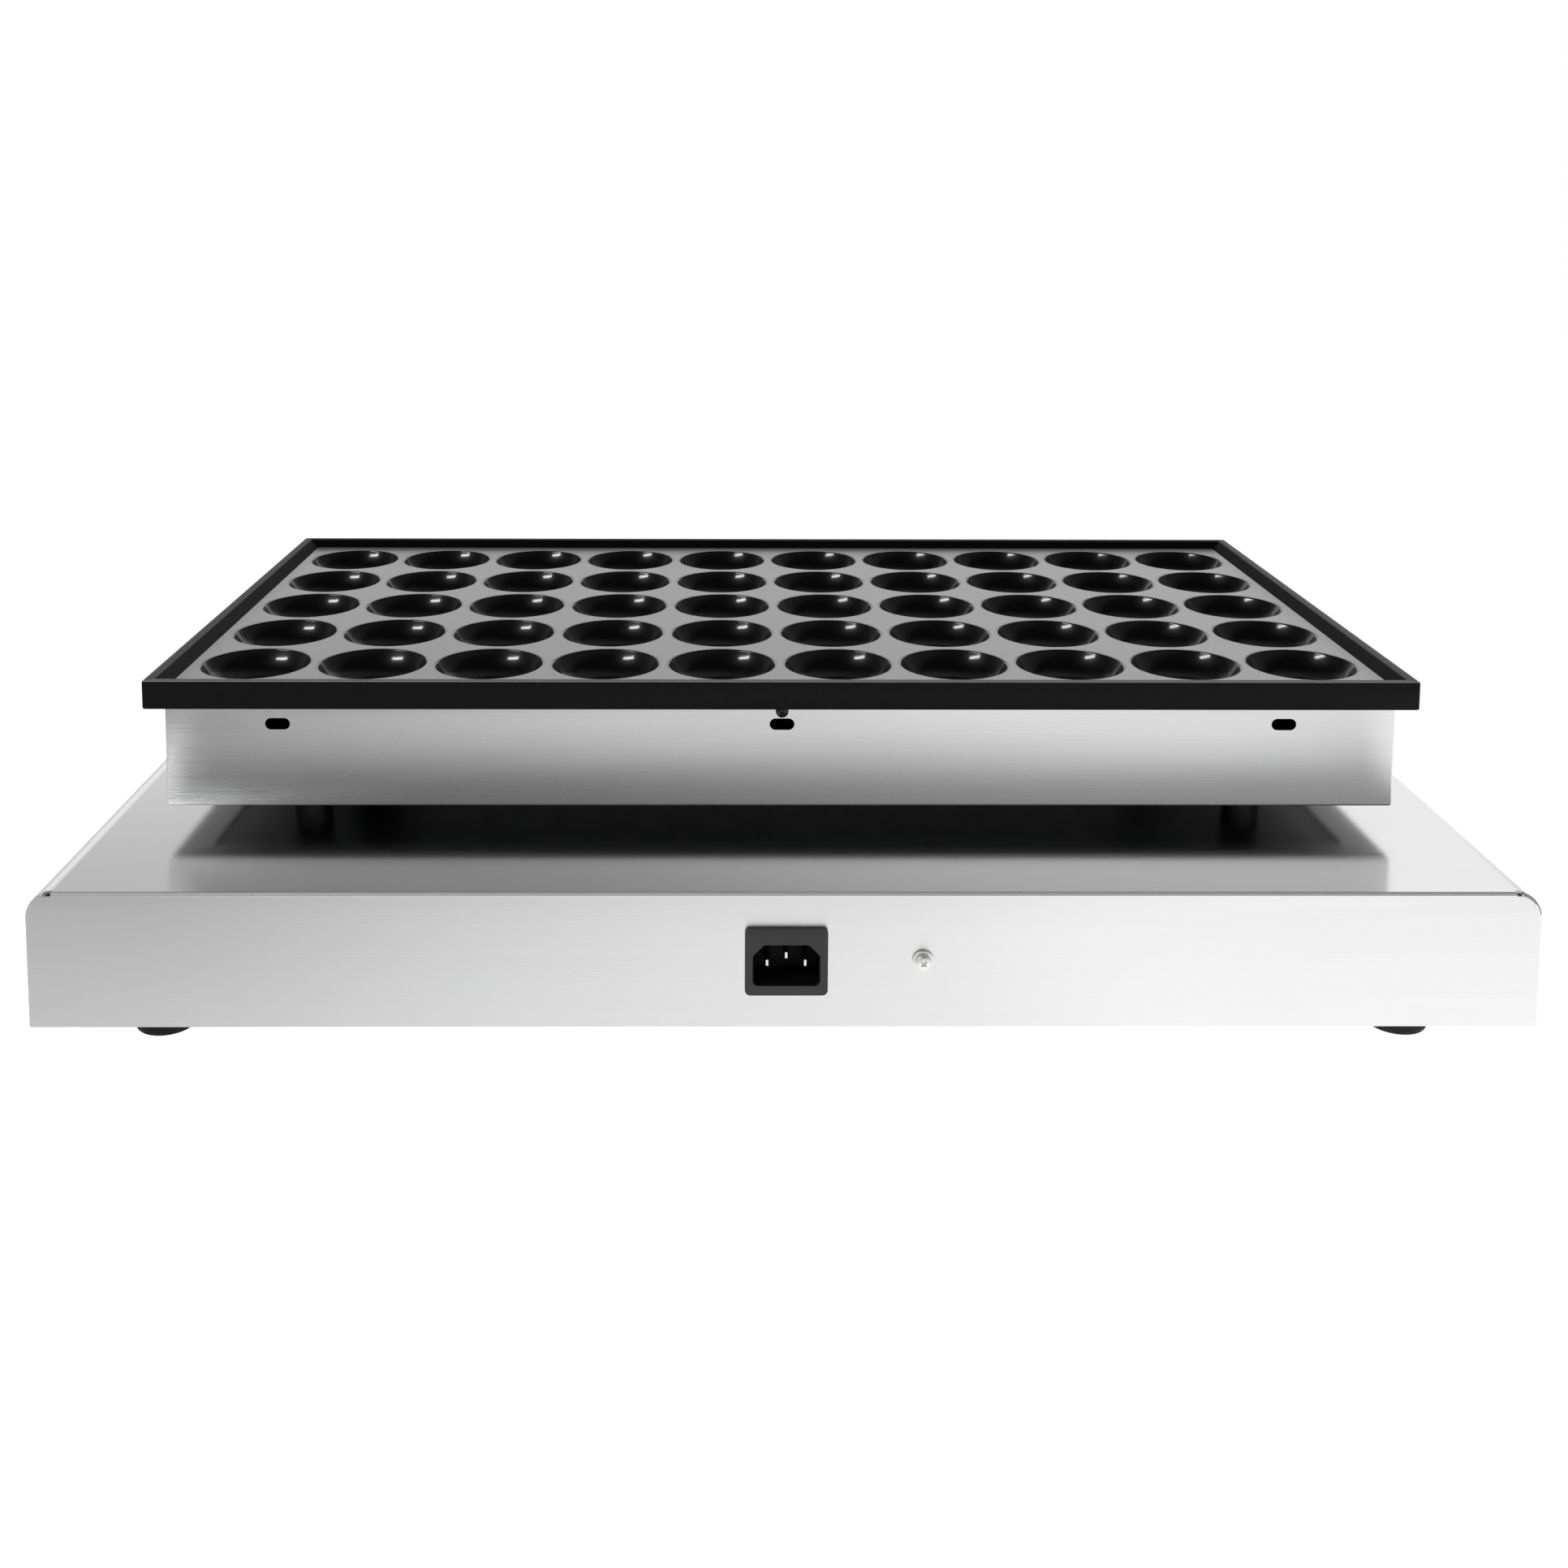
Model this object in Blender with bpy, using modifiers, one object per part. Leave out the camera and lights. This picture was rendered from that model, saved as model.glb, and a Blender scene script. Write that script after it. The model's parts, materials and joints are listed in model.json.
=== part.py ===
"""Countertop mini pancake maker: a black cast plate with round cups in a steel housing, raised on a wide steel base.

The socket side faces -Y and the control side +Y. The feet stand on z = 0. Lengths are in metres.
"""

import math

import bmesh
import bpy
from mathutils import Matrix, Vector

for thing in list(bpy.data.objects):
    bpy.data.objects.remove(thing, do_unlink=True)
for group in list(bpy.data.collections):
    bpy.data.collections.remove(group)

# Clearances
gap = 0.0003  # between pieces that touch
cut_over = 0.002  # how far each cutter runs past what it cuts
turn_weld = 0.00001  # points of a turned shape this close become one
outline_weld = 0.000001
round_steps = 24
small_steps = 12

# Feet and their screws
foot_height = 0.012
foot_top_radius = 0.0122
foot_bottom_radius = 0.0110
foot_inset_x = 0.043
foot_inset_y = 0.0275
foot_well_radius = 0.0048
foot_well_depth = 0.0055
foot_screw_radius = 0.0020
foot_screw_head_radius = 0.0039
foot_screw_head_height = 0.0026
foot_screw_end = 0.004
screw_flat_share = 0.7
screw_brim_share = 0.45

# Base cover and bottom plate
base_width = 0.570
base_depth = 0.410
base_height = 0.0525
base_sheet = 0.0012
base_bend = 0.010
base_bend_steps = 6
notch_width = 0.0031
notch_depth = 0.0024
notch_height = 0.0016
bottom_sheet = 0.0010
vent_length = 0.030
vent_width = 0.005
vent_pitch = 0.014
vent_count = 4
vent_inset_x = 0.135

# Housing of the grill
housing_lift = 0.011
housing_height = 0.0432
housing_sheet = 0.0010
housing_lip = 0.014
rear_shelf = 0.060
slot_length = 0.0099
slot_width = 0.0044
slot_pitch = 0.2047
slot_drop = 0.0091
floor_sheet = 0.0012
pad_room = 0.0053  # free height between the pad and the clamp screws above it
pad_edge = 0.018

# Baking plate and its cups
cup_columns = 10
cup_rows = 5
cup_steps = 16
cup_pitch = 0.049
cup_diameter = 0.045
cup_depth = 0.010
cup_radius_shares = (1.0, 0.90, 0.62)
cup_depth_shares = (0.0, 0.50, 0.90)
plate_margin_x = 0.013
plate_margin_y = 0.0155
plate_edge = 0.008
rim_rise = 0.0035
rim_face = 0.0035
rim_slope = 0.0055
overhang_x = 0.00575
overhang_y = 0.010
body_drop = 0.008
body_play = 0.002

# Screws that hold the plate to the housing
plate_screw_drop = 0.0035
plate_screw_radius = 0.0018
plate_screw_head_radius = 0.0026
plate_screw_head_height = 0.0020
plate_screw_reach = 0.014

# Heaters, clamps and probe
heater_radius = 0.00325
heater_end_x = 0.200
heater_turn_x = 0.190
heater_turn_steps = 8
clamp_width = 0.016
clamp_thickness = 0.003
clamp_over = 0.010
clamp_column = 3
clamp_screw_rows = 1.5  # from the middle row, so each screw sits between a heater's two legs
clamp_screw_radius = 0.0025
clamp_screw_head_radius = 0.0045
clamp_screw_head_height = 0.003
clamp_screw_bite = 0.004
probe_radius = 0.00325
probe_length = 0.090
probe_clip_length = 0.030
capillary_radius = 0.0010

# Spacers and conduit between the base and the housing
standoff_radius = 0.008
standoff_stud_radius = 0.003
standoff_tail = 0.004
standoff_inset_x = 0.050
standoff_inset_y = 0.040
conduit_inset = 0.06025
conduit_radius = 0.011
conduit_bore = 0.009
conduit_stand = 0.002
conduit_tail = 0.008

# Power inlet
inlet_flange_width = 0.0312
inlet_flange_height = 0.0262
inlet_flange_thickness = 0.0018
inlet_corner = 0.0020
inlet_body_width = 0.0286
inlet_body_height = 0.0200
inlet_body_depth = 0.0200
inlet_cavity_width = 0.0254
inlet_cavity_height = 0.0160
inlet_cavity_drop = 0.0012
inlet_cavity_depth = 0.0150
inlet_chamfer = 0.0042
inlet_low_chamfer = 0.0012
pin_width = 0.0020
pin_height = 0.0040
pin_spacing = 0.0072
pin_drop = 0.0008
earth_pin_rise = 0.0030
pin_set_back = 0.004
pin_tail = 0.006

# Earthing screw beside the inlet
earth_offset_x = 0.0515
earth_head_radius = 0.0029
earth_head_height = 0.0022
earth_head_edge = 0.0008
earth_radius = 0.0019
earth_tail = 0.009
earth_washer_radius = 0.0041
earth_washer_thickness = 0.0009
earth_nut_radius = 0.0040
earth_nut_thickness = 0.0032
recess_width = 0.0009
recess_length = 0.0034
recess_depth = 0.0013

# Knobs, thermostat and timer
knob_skirt_radius = 0.0195
knob_skirt_height = 0.0035
knob_foot_radius = 0.0165
knob_top_radius = 0.0150
knob_height = 0.0195
knob_edge = 0.0012
knob_gap = 0.0006
knob_mark_width = 0.0014
knob_mark_depth = 0.0006
shaft_radius = 0.003
shaft_length = 0.016
thermostat_x = -0.070
timer_x = 0.070
control_width = 0.044
control_depth = 0.032
control_height = 0.040

# Power switch
switch_inset = 0.085
switch_flange_width = 0.0255
switch_flange_height = 0.0315
switch_flange_thickness = 0.0020
switch_body_width = 0.0210
switch_body_height = 0.0275
switch_body_depth = 0.024
rocker_width = 0.0160
rocker_half = 0.0105
rocker_end = 0.0060
rocker_centre = 0.0045
rocker_back = 0.0040
rocker_back_share = 0.8
rocker_pivot_depth = 0.004
rocker_cavity_depth = 0.0108
rocker_tilt_deg = 8.0

# Lamps
power_lamp_from_switch = 0.045
heat_lamp_x = 0.0
lamp_lens_radius = 0.0050
lamp_lens_height = 0.0035
lamp_flange_radius = 0.0062
lamp_flange_thickness = 0.0012
lamp_body_radius = 0.0046
lamp_body_length = 0.018
lamp_crown_share = 0.6
lamp_crown_rise_share = 0.85
lamp_shoulder_share = 0.35

# Terminal block and wires
block_inset = 0.175
block_from_rear = 0.085
block_width = 0.036
block_depth = 0.020
block_height = 0.016
block_groove = 0.0012
block_groove_depth = 0.008
wire_radius = 0.0013
wire_step = 8
wire_stub = 0.003
conduit_spread = 0.0034
wire_reach = 0.030
lead_loop = 0.018
long_reach = 0.120
wire_rise = 0.004

# Heights, from the feet up
z_base = foot_height
z_base_top = z_base + base_height
z_base_mid = z_base + base_height / 2
z_inner_top = z_base_top - base_sheet
z_bottom_top = z_base + bottom_sheet
z_housing = z_base_top + housing_lift
z_housing_top = z_housing + housing_height
z_floor = z_housing + housing_sheet + gap
z_floor_top = z_floor + floor_sheet
z_pad = z_floor_top + gap
z_rim_bottom = z_housing_top + gap
z_cups = z_rim_bottom + plate_edge
z_rim_top = z_cups + rim_rise
z_body = z_rim_bottom - body_drop
z_heater = z_body - gap - heater_radius
z_clamp_top = z_heater - heater_radius - gap
z_bar = z_clamp_top - clamp_thickness / 2
z_clamp_head = z_clamp_top - clamp_thickness - gap
z_pad_top = z_clamp_head - clamp_screw_head_height - pad_room
pad_thickness = z_pad_top - z_pad
z_plate_screw = z_rim_bottom - plate_screw_drop

# Widths and depths
plate_width = (cup_columns - 1) * cup_pitch + cup_diameter + 2 * plate_margin_x
plate_depth = (cup_rows - 1) * cup_pitch + cup_diameter + 2 * plate_margin_y
housing_width = plate_width - 2 * overhang_x
housing_depth = plate_depth - 2 * overhang_y
body_width = housing_width - 2 * (housing_sheet + body_play)
body_depth = housing_depth - 2 * (housing_sheet + body_play)
floor_width = housing_width - 2 * (housing_sheet + gap)
floor_depth = housing_depth - 2 * (housing_sheet + gap)
x_conduit = conduit_inset - housing_width / 2
switch_x = base_width / 2 - switch_inset
power_lamp_x = switch_x - power_lamp_from_switch
block_x = block_inset - base_width / 2
vent_offset_x = base_width / 2 - vent_inset_x

# The outermost points at the rear and the front set the origin between them
rear_out = gap + earth_washer_thickness + gap + earth_head_height
front_out = knob_gap + knob_height
y_rear = (rear_out - front_out - base_depth) / 2
y_front = y_rear + base_depth
y_rear_in = y_rear + base_sheet
y_front_in = y_front - base_sheet
y_housing_rear = y_rear + rear_shelf
y_plate = y_housing_rear + housing_depth / 2

# Turns that point a piece's own +Z another way
to_rear = (math.pi / 2, 0.0, 0.0)
to_front = (-math.pi / 2, 0.0, 0.0)
to_floor = (math.pi, 0.0, 0.0)
to_right = (0.0, math.pi / 2, 0.0)
upright = (0.0, 0.0, 0.0)

parts = bpy.data.collections.new("mini_pancake_maker")
cutters = bpy.data.collections.new("cutters")
bpy.context.scene.collection.children.link(parts)
bpy.context.scene.collection.children.link(cutters)
cutters.hide_render = True

# Looks: colour, roughness, metallic
steel = ((0.62, 0.62, 0.62), 0.28, 1.0)
zinc = ((0.66, 0.66, 0.64), 0.35, 1.0)
cast = ((0.028, 0.028, 0.028), 0.42, 0.0)
dark_steel = ((0.05, 0.05, 0.05), 0.45, 1.0)
rubber = ((0.015, 0.015, 0.015), 0.75, 0.0)
black_plastic = ((0.02, 0.02, 0.021), 0.4, 0.0)
grey_plastic = ((0.085, 0.085, 0.088), 0.45, 0.0)
beige_plastic = ((0.55, 0.50, 0.40), 0.5, 0.0)
wool = ((0.62, 0.60, 0.54), 0.95, 0.0)
copper = ((0.60, 0.28, 0.14), 0.3, 1.0)
nickel = ((0.75, 0.73, 0.70), 0.2, 1.0)
red_plastic = ((0.55, 0.02, 0.015), 0.25, 0.0)
green_plastic = ((0.03, 0.42, 0.07), 0.25, 0.0)
white_wire = ((0.75, 0.74, 0.70), 0.6, 0.0)
brown_wire = ((0.16, 0.07, 0.03), 0.5, 0.0)
blue_wire = ((0.03, 0.10, 0.42), 0.5, 0.0)
earth_wire_look = ((0.35, 0.50, 0.05), 0.5, 0.0)


def material(name, look):
    """One Principled material for one sub-part."""
    colour, roughness, metallic = look
    made = bpy.data.materials.new(name)
    made.use_nodes = True
    shader = made.node_tree.nodes["Principled BSDF"]
    shader.inputs["Base Color"].default_value = (*colour, 1.0)
    shader.inputs["Roughness"].default_value = roughness
    shader.inputs["Metallic"].default_value = metallic
    return made


def place(obj, where, turn, look):
    """Puts a sub-part with its own material in the parts, or a cutter without one in the cutters."""
    obj.location = where
    obj.rotation_euler = turn
    if look is None:
        cutters.objects.link(obj)
        obj.hide_render = True
        obj.display_type = "WIRE"
        return obj
    parts.objects.link(obj)
    obj.data.materials.append(material(obj.name, look))
    return obj


def box(name, size, where, look=None, turn=upright):
    """A box of the given sides, centred on where."""
    mesh = bpy.data.meshes.new(name)
    bm = bmesh.new()
    bmesh.ops.create_cube(bm, size=1.0, matrix=Matrix.Diagonal((*size, 1.0)))
    bm.to_mesh(mesh)
    bm.free()
    return place(bpy.data.objects.new(name, mesh), where, turn, look)


def tapered_box(name, low, high, height, where, look=None):
    """A box whose bottom and top differ in size; where is the middle of its bottom face."""
    obj = box(name, (low[0], low[1], height), where, look)
    for corner in obj.data.vertices:
        if corner.co.z > 0:
            corner.co.x *= high[0] / low[0]
            corner.co.y *= high[1] / low[1]
        corner.co.z += height / 2
    return obj


def cylinder(name, radius, length, where, look=None, turn=upright, steps=round_steps):
    """A cylinder centred on where, its axis along its own Z."""
    mesh = bpy.data.meshes.new(name)
    bm = bmesh.new()
    bmesh.ops.create_cone(
        bm, cap_ends=True, segments=steps, radius1=radius, radius2=radius, depth=length
    )
    bm.to_mesh(mesh)
    bm.free()
    obj = place(bpy.data.objects.new(name, mesh), where, turn, look)
    shade(obj)
    return obj


def shade(obj):
    obj.data.shade_smooth()
    obj.data.set_sharp_from_angle(angle=math.radians(35.0))


def turned(name, profile, where, look=None, turn=upright, steps=round_steps, ring=False):
    """Turns a profile of (radius, height) points round Z. It runs down its outer side."""
    mesh = bpy.data.meshes.new(name)
    bm = bmesh.new()
    points = [bm.verts.new((radius, 0.0, height)) for radius, height in profile]
    for first, second in zip(points, points[1:]):
        bm.edges.new((first, second))
    if ring:
        bm.edges.new((points[-1], points[0]))
    bm.to_mesh(mesh)
    bm.free()
    obj = place(bpy.data.objects.new(name, mesh), where, turn, look)
    screw = obj.modifiers.new("turn", "SCREW")
    screw.axis = "Z"
    screw.angle = 2 * math.pi
    screw.screw_offset = 0.0
    screw.steps = steps
    screw.render_steps = steps
    screw.use_smooth_shade = False
    screw.use_merge_vertices = True
    screw.merge_threshold = turn_weld
    return obj


def outline_solid(name, points, thickness, where, look=None, turn=upright):
    """A flat outline in its own XY, with half the thickness on each side."""
    curve = bpy.data.curves.new(name, "CURVE")
    curve.dimensions = "2D"
    curve.fill_mode = "BOTH"
    curve.extrude = thickness / 2
    spline = curve.splines.new("POLY")
    spline.points.add(len(points) - 1)
    for point, (x, y) in zip(spline.points, points):
        point.co = (x, y, 0.0, 1.0)
    spline.use_cyclic_u = True
    drawn = bpy.data.objects.new(name + "_outline", curve)
    bpy.context.scene.collection.objects.link(drawn)
    bpy.context.view_layer.update()
    graph = bpy.context.evaluated_depsgraph_get()
    mesh = bpy.data.meshes.new_from_object(drawn.evaluated_get(graph))
    bpy.data.objects.remove(drawn, do_unlink=True)
    bm = bmesh.new()
    bm.from_mesh(mesh)
    bmesh.ops.remove_doubles(bm, verts=bm.verts, dist=outline_weld)
    bmesh.ops.recalc_face_normals(bm, faces=bm.faces)
    bm.to_mesh(mesh)
    bm.free()
    return place(bpy.data.objects.new(name, mesh), where, turn, look)


def cut(obj, *tools):
    """Takes each tool out of the object."""
    for tool in tools:
        boolean = obj.modifiers.new(tool.name, "BOOLEAN")
        boolean.operation = "DIFFERENCE"
        boolean.solver = "EXACT"
        boolean.object = tool


def join(obj, tool):
    boolean = obj.modifiers.new(tool.name, "BOOLEAN")
    boolean.operation = "UNION"
    boolean.solver = "EXACT"
    boolean.object = tool


def obround(length, width, steps=small_steps):
    """The outline of a slot with round ends, its length along X."""
    half = (length - width) / 2
    radius = width / 2
    points = []
    for side in (1, -1):
        for step in range(steps // 2 + 1):
            angle = -math.pi / 2 + math.pi * step / (steps // 2)
            points.append((side * (half + radius * math.cos(angle)), side * radius * math.sin(angle)))
    return points


def tube(name, path, radius, look):
    """A round tube along the points of a path."""
    curve = bpy.data.curves.new(name, "CURVE")
    curve.dimensions = "3D"
    curve.bevel_depth = radius
    curve.bevel_resolution = 2
    curve.use_fill_caps = True
    spline = curve.splines.new("POLY")
    spline.points.add(len(path) - 1)
    for point, place_at in zip(spline.points, path):
        point.co = (*place_at, 1.0)
    return place(bpy.data.objects.new(name, curve), (0.0, 0.0, 0.0), upright, look)


def smooth_run(stops):
    """Points of a smooth line through stops, each a place and the way the line goes there.

    Both ends run straight for a short stub, square to what they meet.
    """
    stops = [(Vector(here), Vector(way)) for here, way in stops]
    (start, leave), (end, arrive) = stops[0], stops[-1]
    stops[0] = (start + leave.normalized() * wire_stub, leave)
    stops[-1] = (end - arrive.normalized() * wire_stub, arrive)
    points = [start]
    for (here, leave), (there, arrive) in zip(stops, stops[1:]):
        for step in range(wire_step):
            t = step / wire_step
            a = 2 * t**3 - 3 * t**2 + 1
            b = t**3 - 2 * t**2 + t
            c = -2 * t**3 + 3 * t**2
            d = t**3 - t**2
            points.append(a * here + b * leave + c * there + d * arrive)
    return points + [stops[-1][0], end]


def screw_profile(head_radius, head_height, radius, length):
    """A pan head above z = 0 and a plain shank below it."""
    return (
        (0.0, head_height),
        (head_radius * screw_flat_share, head_height),
        (head_radius, head_height * screw_brim_share),
        (head_radius, 0.0),
        (radius, 0.0),
        (radius, -length),
        (0.0, -length),
    )


# Base cover: the folded top and sides with wide bends, and the end panels
base_cover = box(
    "base_cover", (base_width, base_depth, base_height), (0.0, y_rear + base_depth / 2, z_base_mid), steel
)


def round_long_edges(obj, radius):
    """Bends the two top edges that run front to back."""
    bm = bmesh.new()
    bm.from_mesh(obj.data)
    edges = [
        edge
        for edge in bm.edges
        if edge.verts[0].co.z > 0 and edge.verts[1].co.z > 0 and edge.verts[0].co.x * edge.verts[1].co.x > 0
    ]
    bmesh.ops.bevel(bm, geom=edges, offset=radius, segments=base_bend_steps, profile=0.5, affect="EDGES")
    bm.to_mesh(obj.data)
    bm.free()


round_long_edges(base_cover, base_bend)
base_hollow = box(
    "base_hollow",
    (base_width - 2 * base_sheet, base_depth - 2 * base_sheet, base_height),
    (0.0, y_rear + base_depth / 2, z_base_mid - base_sheet),
)
round_long_edges(base_hollow, base_bend - base_sheet)
cut(base_cover, base_hollow)
for side, side_name in ((-1, "left"), (1, "right")):
    for y_end, end_name in ((y_rear, "rear"), (y_front, "front")):
        cut(
            base_cover,
            box(
                f"notch_{side_name}_{end_name}",
                (notch_width, 2 * notch_depth, 2 * notch_height),
                (side * (base_width / 2 - base_bend + notch_width / 2), y_end, z_base_top),
            ),
        )

# Bottom plate inside the cover, with slots that let the heat out
bottom_plate = box(
    "bottom_plate",
    (base_width - 2 * (base_sheet + gap), base_depth - 2 * (base_sheet + gap), bottom_sheet),
    (0.0, y_rear + base_depth / 2, z_base + bottom_sheet / 2),
    zinc,
)
for side in (-1, 1):
    for row in range(vent_count):
        cut(
            bottom_plate,
            outline_solid(
                f"vent_{'left' if side < 0 else 'right'}_{row + 1}",
                obround(vent_length, vent_width, 8),
                bottom_sheet + 2 * cut_over,
                (
                    side * vent_offset_x,
                    y_plate + (row - (vent_count - 1) / 2) * vent_pitch,
                    z_base + bottom_sheet / 2,
                ),
            ),
        )

# Feet, each held by a screw from below
foot_places = [
    (sx * (base_width / 2 - foot_inset_x), y)
    for y in (y_rear + foot_inset_y, y_front - foot_inset_y)
    for sx in (-1, 1)
]
foot_body = foot_height - gap
for number, (x, y) in enumerate(foot_places, 1):
    hole = foot_screw_radius + gap
    turned(
        f"foot_{number}",
        (
            (hole, foot_body),
            (foot_top_radius, foot_body),
            (foot_bottom_radius, 0.0),
            (foot_well_radius, 0.0),
            (foot_well_radius, foot_well_depth),
            (hole, foot_well_depth),
        ),
        (x, y, 0.0),
        rubber,
        ring=True,
        steps=20,
    )
    length = z_bottom_top + foot_screw_end - (foot_well_depth - gap)
    turned(
        f"foot_screw_{number}",
        screw_profile(foot_screw_head_radius, foot_screw_head_height, foot_screw_radius, length),
        (x, y, foot_well_depth - gap),
        zinc,
        to_floor,
        steps=small_steps,
    )
    cut(
        bottom_plate,
        cylinder(
            f"foot_hole_{number}",
            foot_screw_radius + gap,
            bottom_sheet + 2 * cut_over,
            (x, y, z_base + bottom_sheet / 2),
            steps=small_steps,
        ),
    )

# Power inlet in the middle of the rear panel
z_cavity = z_base_mid - inlet_cavity_drop
inlet_body = box(
    "inlet_body",
    (inlet_flange_width, inlet_flange_thickness, inlet_flange_height),
    (0.0, y_rear - gap - inlet_flange_thickness / 2, z_base_mid),
    grey_plastic,
)
bm = bmesh.new()
bm.from_mesh(inlet_body.data)
corner_edges = [edge for edge in bm.edges if abs(edge.verts[0].co.y - edge.verts[1].co.y) > gap]
bmesh.ops.bevel(bm, geom=corner_edges, offset=inlet_corner, segments=3, profile=0.5, affect="EDGES")
bm.to_mesh(inlet_body.data)
bm.free()
inlet_inner_depth = inlet_body_depth + gap + inlet_flange_thickness / 2
join(
    inlet_body,
    box(
        "inlet_inner",
        (inlet_body_width, inlet_inner_depth, inlet_body_height),
        (0.0, y_rear - gap - inlet_flange_thickness / 2 + inlet_inner_depth / 2, z_base_mid),
    ),
)
y_inlet_face = y_rear - gap - inlet_flange_thickness
y_inlet_back = y_rear + inlet_body_depth
half_w = inlet_cavity_width / 2
half_h = inlet_cavity_height / 2
cut(
    inlet_body,
    outline_solid(
        "inlet_cavity",
        (
            (-half_w + inlet_low_chamfer, -half_h),
            (half_w - inlet_low_chamfer, -half_h),
            (half_w, -half_h + inlet_low_chamfer),
            (half_w, half_h - inlet_chamfer),
            (half_w - inlet_chamfer, half_h),
            (-half_w + inlet_chamfer, half_h),
            (-half_w, half_h - inlet_chamfer),
            (-half_w, -half_h + inlet_low_chamfer),
        ),
        inlet_cavity_depth + cut_over,
        (0.0, y_inlet_face + (inlet_cavity_depth - cut_over) / 2, z_cavity),
        turn=to_rear,
    ),
)
cut(
    base_cover,
    box(
        "inlet_opening",
        (inlet_body_width + 2 * gap, base_sheet + 2 * cut_over, inlet_body_height + 2 * gap),
        (0.0, y_rear + base_sheet / 2, z_base_mid),
    ),
)
pin_start = y_inlet_face + pin_set_back
pin_end = y_inlet_back + pin_tail
pin_places = {
    "line": (-pin_spacing, z_cavity - pin_drop),
    "earth": (0.0, z_cavity - pin_drop + earth_pin_rise),
    "neutral": (pin_spacing, z_cavity - pin_drop),
}
for pin_name, (x, z) in pin_places.items():
    box(
        f"inlet_pin_{pin_name}",
        (pin_width, pin_end - pin_start, pin_height),
        (x, (pin_start + pin_end) / 2, z),
        nickel,
    )
    cut(
        inlet_body,
        box(
            f"pin_slot_{pin_name}",
            (pin_width + 2 * gap, inlet_body_depth, pin_height + 2 * gap),
            (x, y_inlet_back + cut_over - inlet_body_depth / 2, z),
        ),
    )

# Earthing screw, its washer and the nut inside
y_washer = y_rear - gap - earth_washer_thickness
y_earth_head = y_washer - gap
earth_screw = turned(
    "earth_screw",
    (
        (0.0, earth_head_height),
        (earth_head_radius - 2 * earth_head_edge, earth_head_height),
        (earth_head_radius - earth_head_edge / 2, earth_head_height - earth_head_edge),
        (earth_head_radius, 0.0),
        (earth_radius, 0.0),
        (earth_radius, -earth_tail),
        (0.0, -earth_tail),
    ),
    (earth_offset_x, y_earth_head, z_base_mid),
    zinc,
    to_rear,
    steps=20,
)
for turn_name, across, up in (("flat", recess_length, recess_width), ("tall", recess_width, recess_length)):
    cut(
        earth_screw,
        box(
            f"recess_{turn_name}",
            (across, 2 * recess_depth, up),
            (earth_offset_x, y_earth_head - earth_head_height, z_base_mid),
        ),
    )
earth_bore = earth_radius + gap
turned(
    "earth_washer",
    (
        (earth_bore, earth_washer_thickness / 2),
        (earth_washer_radius, earth_washer_thickness / 2),
        (earth_washer_radius, -earth_washer_thickness / 2),
        (earth_bore, -earth_washer_thickness / 2),
    ),
    (earth_offset_x, y_rear - gap - earth_washer_thickness / 2, z_base_mid),
    zinc,
    to_rear,
    ring=True,
    steps=20,
)
y_earth_nut = y_rear_in + gap + earth_nut_thickness / 2
earth_nut = cylinder(
    "earth_nut",
    earth_nut_radius,
    earth_nut_thickness,
    (earth_offset_x, y_earth_nut, z_base_mid),
    zinc,
    to_rear,
    6,
)
cut(
    earth_nut,
    cylinder(
        "earth_nut_bore",
        earth_bore,
        earth_nut_thickness + 2 * cut_over,
        (earth_offset_x, y_earth_nut, z_base_mid),
        turn=to_rear,
        steps=20,
    ),
)
cut(
    base_cover,
    cylinder(
        "earth_hole",
        earth_bore,
        base_sheet + 2 * cut_over,
        (earth_offset_x, y_rear + base_sheet / 2, z_base_mid),
        turn=to_rear,
        steps=20,
    ),
)

# Knobs with their shafts, and the thermostat and the timer that they turn
knob_profile = (
    (0.0, knob_height),
    (knob_top_radius - knob_edge, knob_height),
    (knob_top_radius, knob_height - knob_edge),
    (knob_foot_radius, knob_skirt_height),
    (knob_skirt_radius, knob_skirt_height - knob_edge),
    (knob_skirt_radius, 0.0),
    (shaft_radius, 0.0),
    (shaft_radius, -shaft_length),
    (0.0, -shaft_length),
)
y_control = y_front_in - gap - control_depth / 2
for control, x in (("thermostat", thermostat_x), ("timer", timer_x)):
    knob = turned(f"{control}_knob", knob_profile, (x, y_front + knob_gap, z_base_mid), black_plastic, to_front)
    cut(
        knob,
        box(
            f"{control}_mark",
            (knob_mark_width, 2 * knob_mark_depth, knob_top_radius),
            (x, y_front + knob_gap + knob_height, z_base_mid + knob_top_radius / 2 + knob_edge),
        ),
    )
    body = box(
        f"{control}_body",
        (control_width, control_depth, control_height),
        (x, y_control, z_base_mid),
        beige_plastic,
    )
    shaft_hole_length = shaft_length - knob_gap + 2 * cut_over
    y_shaft_hole = y_front + cut_over - shaft_hole_length / 2
    shaft_hole = cylinder(
        f"{control}_shaft_hole",
        shaft_radius + gap,
        shaft_hole_length,
        (x, y_shaft_hole, z_base_mid),
        turn=to_rear,
        steps=round_steps,
    )
    cut(body, shaft_hole)
    cut(base_cover, shaft_hole)

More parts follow.
